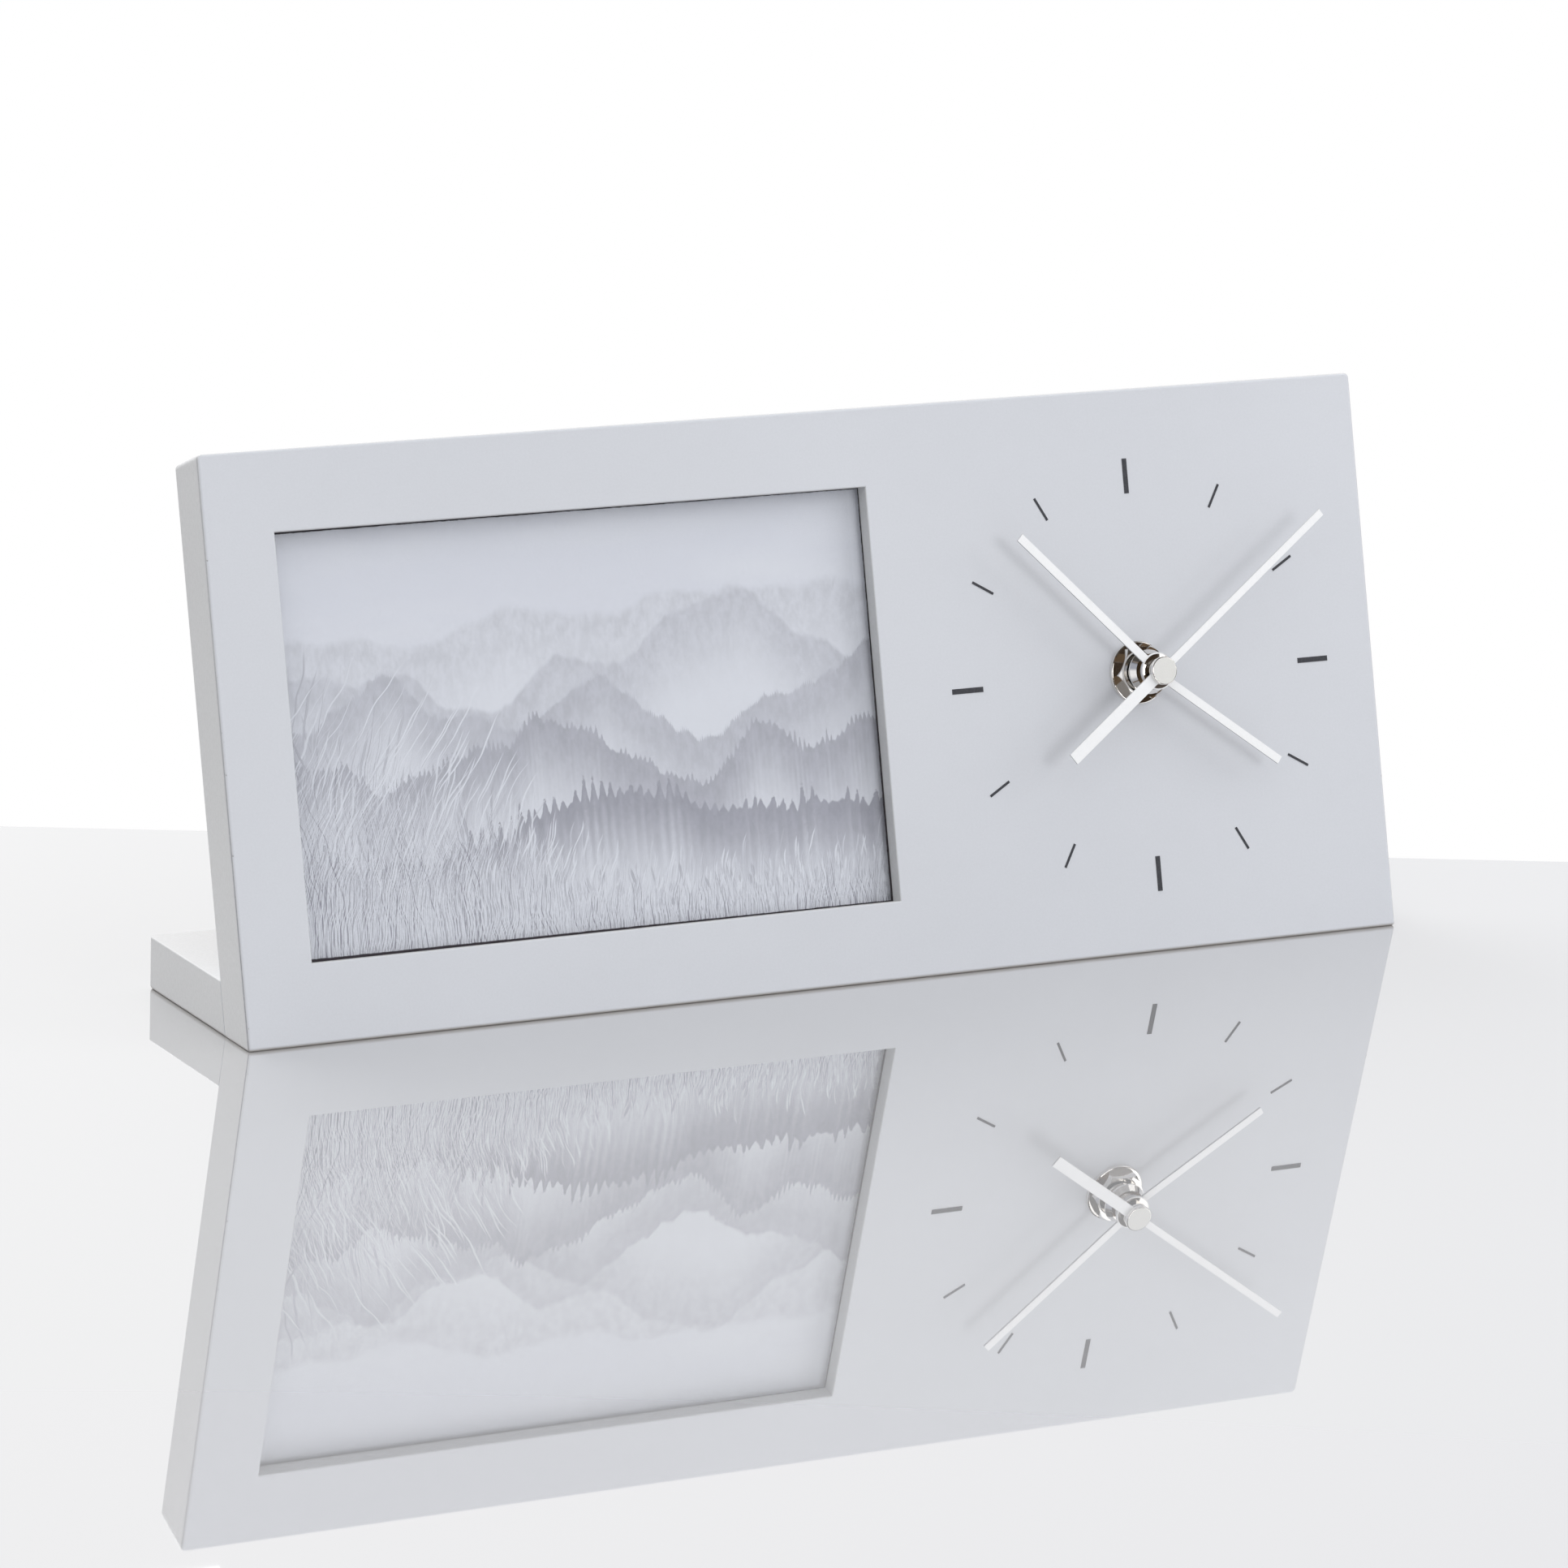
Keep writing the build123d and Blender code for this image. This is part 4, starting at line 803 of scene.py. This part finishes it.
def floor_nodes(shader, principled):
    """White glossy acrylic, more of a mirror at a flat angle."""
    mirror = shader.node("BsdfGlossy", {"Color": MIRROR_WHITE, "Roughness": MIRROR_ROUGHNESS})
    fresnel = shader.node("Fresnel", {"IOR": MIRROR_IOR}).outputs[0]
    share = shader.math("MULTIPLY_ADD", fresnel, GLOSS_GRAZING, GLOSS_PLAIN)
    both = shader.node("MixShader", {0: share, 1: principled.outputs[0], 2: mirror.outputs[0]})
    shader.show(both.outputs[0])


def add_floor():
    """The table top, which ends at its far edge."""
    left, right = on_table(0, TABLE_EDGE_LEFT_PIXEL), on_table(PICTURE_PIXELS, TABLE_EDGE_RIGHT_PIXEL)
    along = (right - left).normalized()
    near = Vector((0, 0, 1)).cross(along) * -1
    far_left, far_right = left - along * FLOOR_SIDE, right + along * FLOOR_SIDE
    corners = [far_left, far_left + near * FLOOR_NEAR, far_right + near * FLOOR_NEAR, far_right]
    data = bpy.data.meshes.new("table")
    data.from_pydata([tuple(corner) for corner in corners], [], [(0, 1, 2, 3)])
    table = bpy.data.objects.new("table", data)
    bpy.context.scene.collection.objects.link(table)
    data.materials.append(surface("table_top", TABLE_SETTINGS, floor_nodes))


# The surround as metal, glass and the table show it, in degrees around the object and up: white behind the
# object and at the left, a little dimmer at the right, blue-grey over the left part, and the dark of the room
# behind the viewer and overhead
SHOWN_WHITE = (1.0, 1.0, 1.0, 1)
SHOWN_DIM = (0.90, 0.905, 0.925, 1)
SHOWN_BLUE = (0.36, 0.38, 0.44, 1)
SHOWN_ROOM = (0.040, 0.027, 0.018, 1)
SHOWN_OVERHEAD = (0.07, 0.065, 0.06, 1)
ROOM_LEFT, ROOM_RIGHT, ROOM_TOP = -62, 128, 44
BLUE_LEFT, BLUE_RIGHT, BLUE_BOTTOM = -150, -50, 17
OVERHEAD_BOTTOM = 44
DIM_LEFT, DIM_RIGHT = 162, 140
SOFTNESS = 7

# The surround as a light: its level, and how that grows upward
LIGHT_LEVEL = 0.58
LIGHT_UP = 0.58
BACKGROUND_WHITE = (1.0, 1.0, 1.0, 1)

# What the lamps look at: the middle of the clock
LAMP_TARGET = Vector((0, 0, 60.0 * MM))

# Each lamp: name, azimuth from the front and elevation in degrees, distance and size in metres, power in W
LAMPS = (
    ("front_light", 6.7, 14.7, 1.5, 0.42, 3.4),
    ("right_light", 60, 25, 1.5, 0.90, 4.3),
    ("back_light", 178, 40, 1.4, 0.80, 4.2),
    ("left_light", -160, 43, 1.4, 1.00, 10.4),
)


def direction_of(azimuth, elevation):
    """The direction toward a place around the object, in degrees from the front and up."""
    around, over = math.radians(azimuth), math.radians(elevation)
    return Vector((math.sin(around) * math.cos(over), -math.cos(around) * math.cos(over), math.sin(over)))


def past(shader, angle, edge):
    """1 where an angle is over an edge of the surround, 0 where it is under it."""
    return shader.ramp(angle, edge - SOFTNESS, edge + SOFTNESS)


def short_of(shader, angle, edge):
    """1 where an angle is under an edge of the surround, 0 where it is over it."""
    return shader.ramp(angle, edge + SOFTNESS, edge - SOFTNESS)


def surround_colour(shader, azimuth, elevation):
    """What metal, glass and the table show of the surround."""
    shown = shader.mix(shader.ramp(azimuth, DIM_LEFT, DIM_RIGHT), SHOWN_WHITE, SHOWN_DIM)
    blue = shader.times(past(shader, azimuth, BLUE_LEFT), short_of(shader, azimuth, BLUE_RIGHT))
    shown = shader.mix(shader.times(blue, past(shader, elevation, BLUE_BOTTOM)), shown, SHOWN_BLUE)
    shown = shader.mix(past(shader, elevation, OVERHEAD_BOTTOM), shown, SHOWN_OVERHEAD)
    room = shader.times(past(shader, azimuth, ROOM_LEFT), short_of(shader, azimuth, ROOM_RIGHT))
    return shader.mix(shader.times(room, short_of(shader, elevation, ROOM_TOP)), shown, SHOWN_ROOM)


def add_world():
    """A soft light from all round, the surround that shiny surfaces show, and a white background."""
    world = bpy.data.worlds.new("studio")
    world.use_nodes = True
    bpy.context.scene.world = world
    shader = Shader(world.node_tree)
    east, north, height = shader.split(shader.node("TexCoord").outputs["Generated"])
    azimuth = shader.math("DEGREES", shader.math("ARCTAN2", east, shader.times(north, -1.0)))
    elevation = shader.math("DEGREES", shader.math("ARCSINE", height))
    light = shader.math("MULTIPLY_ADD", height, LIGHT_UP, LIGHT_LEVEL)
    paths = shader.node("LightPath").outputs
    mirrored = shader.math("MAXIMUM", paths["Is Glossy Ray"], paths["Is Transmission Ray"])
    shown = surround_colour(shader, azimuth, elevation)
    colour = shader.mix(mirrored, shader.combine(light, light, light), shown)
    colour = shader.mix(paths["Is Camera Ray"], colour, BACKGROUND_WHITE)
    background = shader.node("Background", {"Color": colour, "Strength": 1.0})
    output = shader.node("OutputWorld")
    shader.put(output.inputs["Surface"], background.outputs[0])


def add_light(name, azimuth, elevation, distance, size, power):
    """A square soft light that looks at the object."""
    back = direction_of(azimuth, elevation)
    data = bpy.data.lights.new(name, "AREA")
    data.shape, data.size, data.energy = "SQUARE", size, power
    lamp = bpy.data.objects.new(name, data)
    lamp.rotation_mode = "QUATERNION"
    lamp.rotation_quaternion = back.to_track_quat("Z", "Y")
    lamp.location = LAMP_TARGET + back * distance
    bpy.context.scene.collection.objects.link(lamp)


add_camera()
add_floor()
add_world()
for lamp in LAMPS:
    add_light(*lamp)
dress_all()
bpy.context.scene.view_settings.view_transform = "Standard"
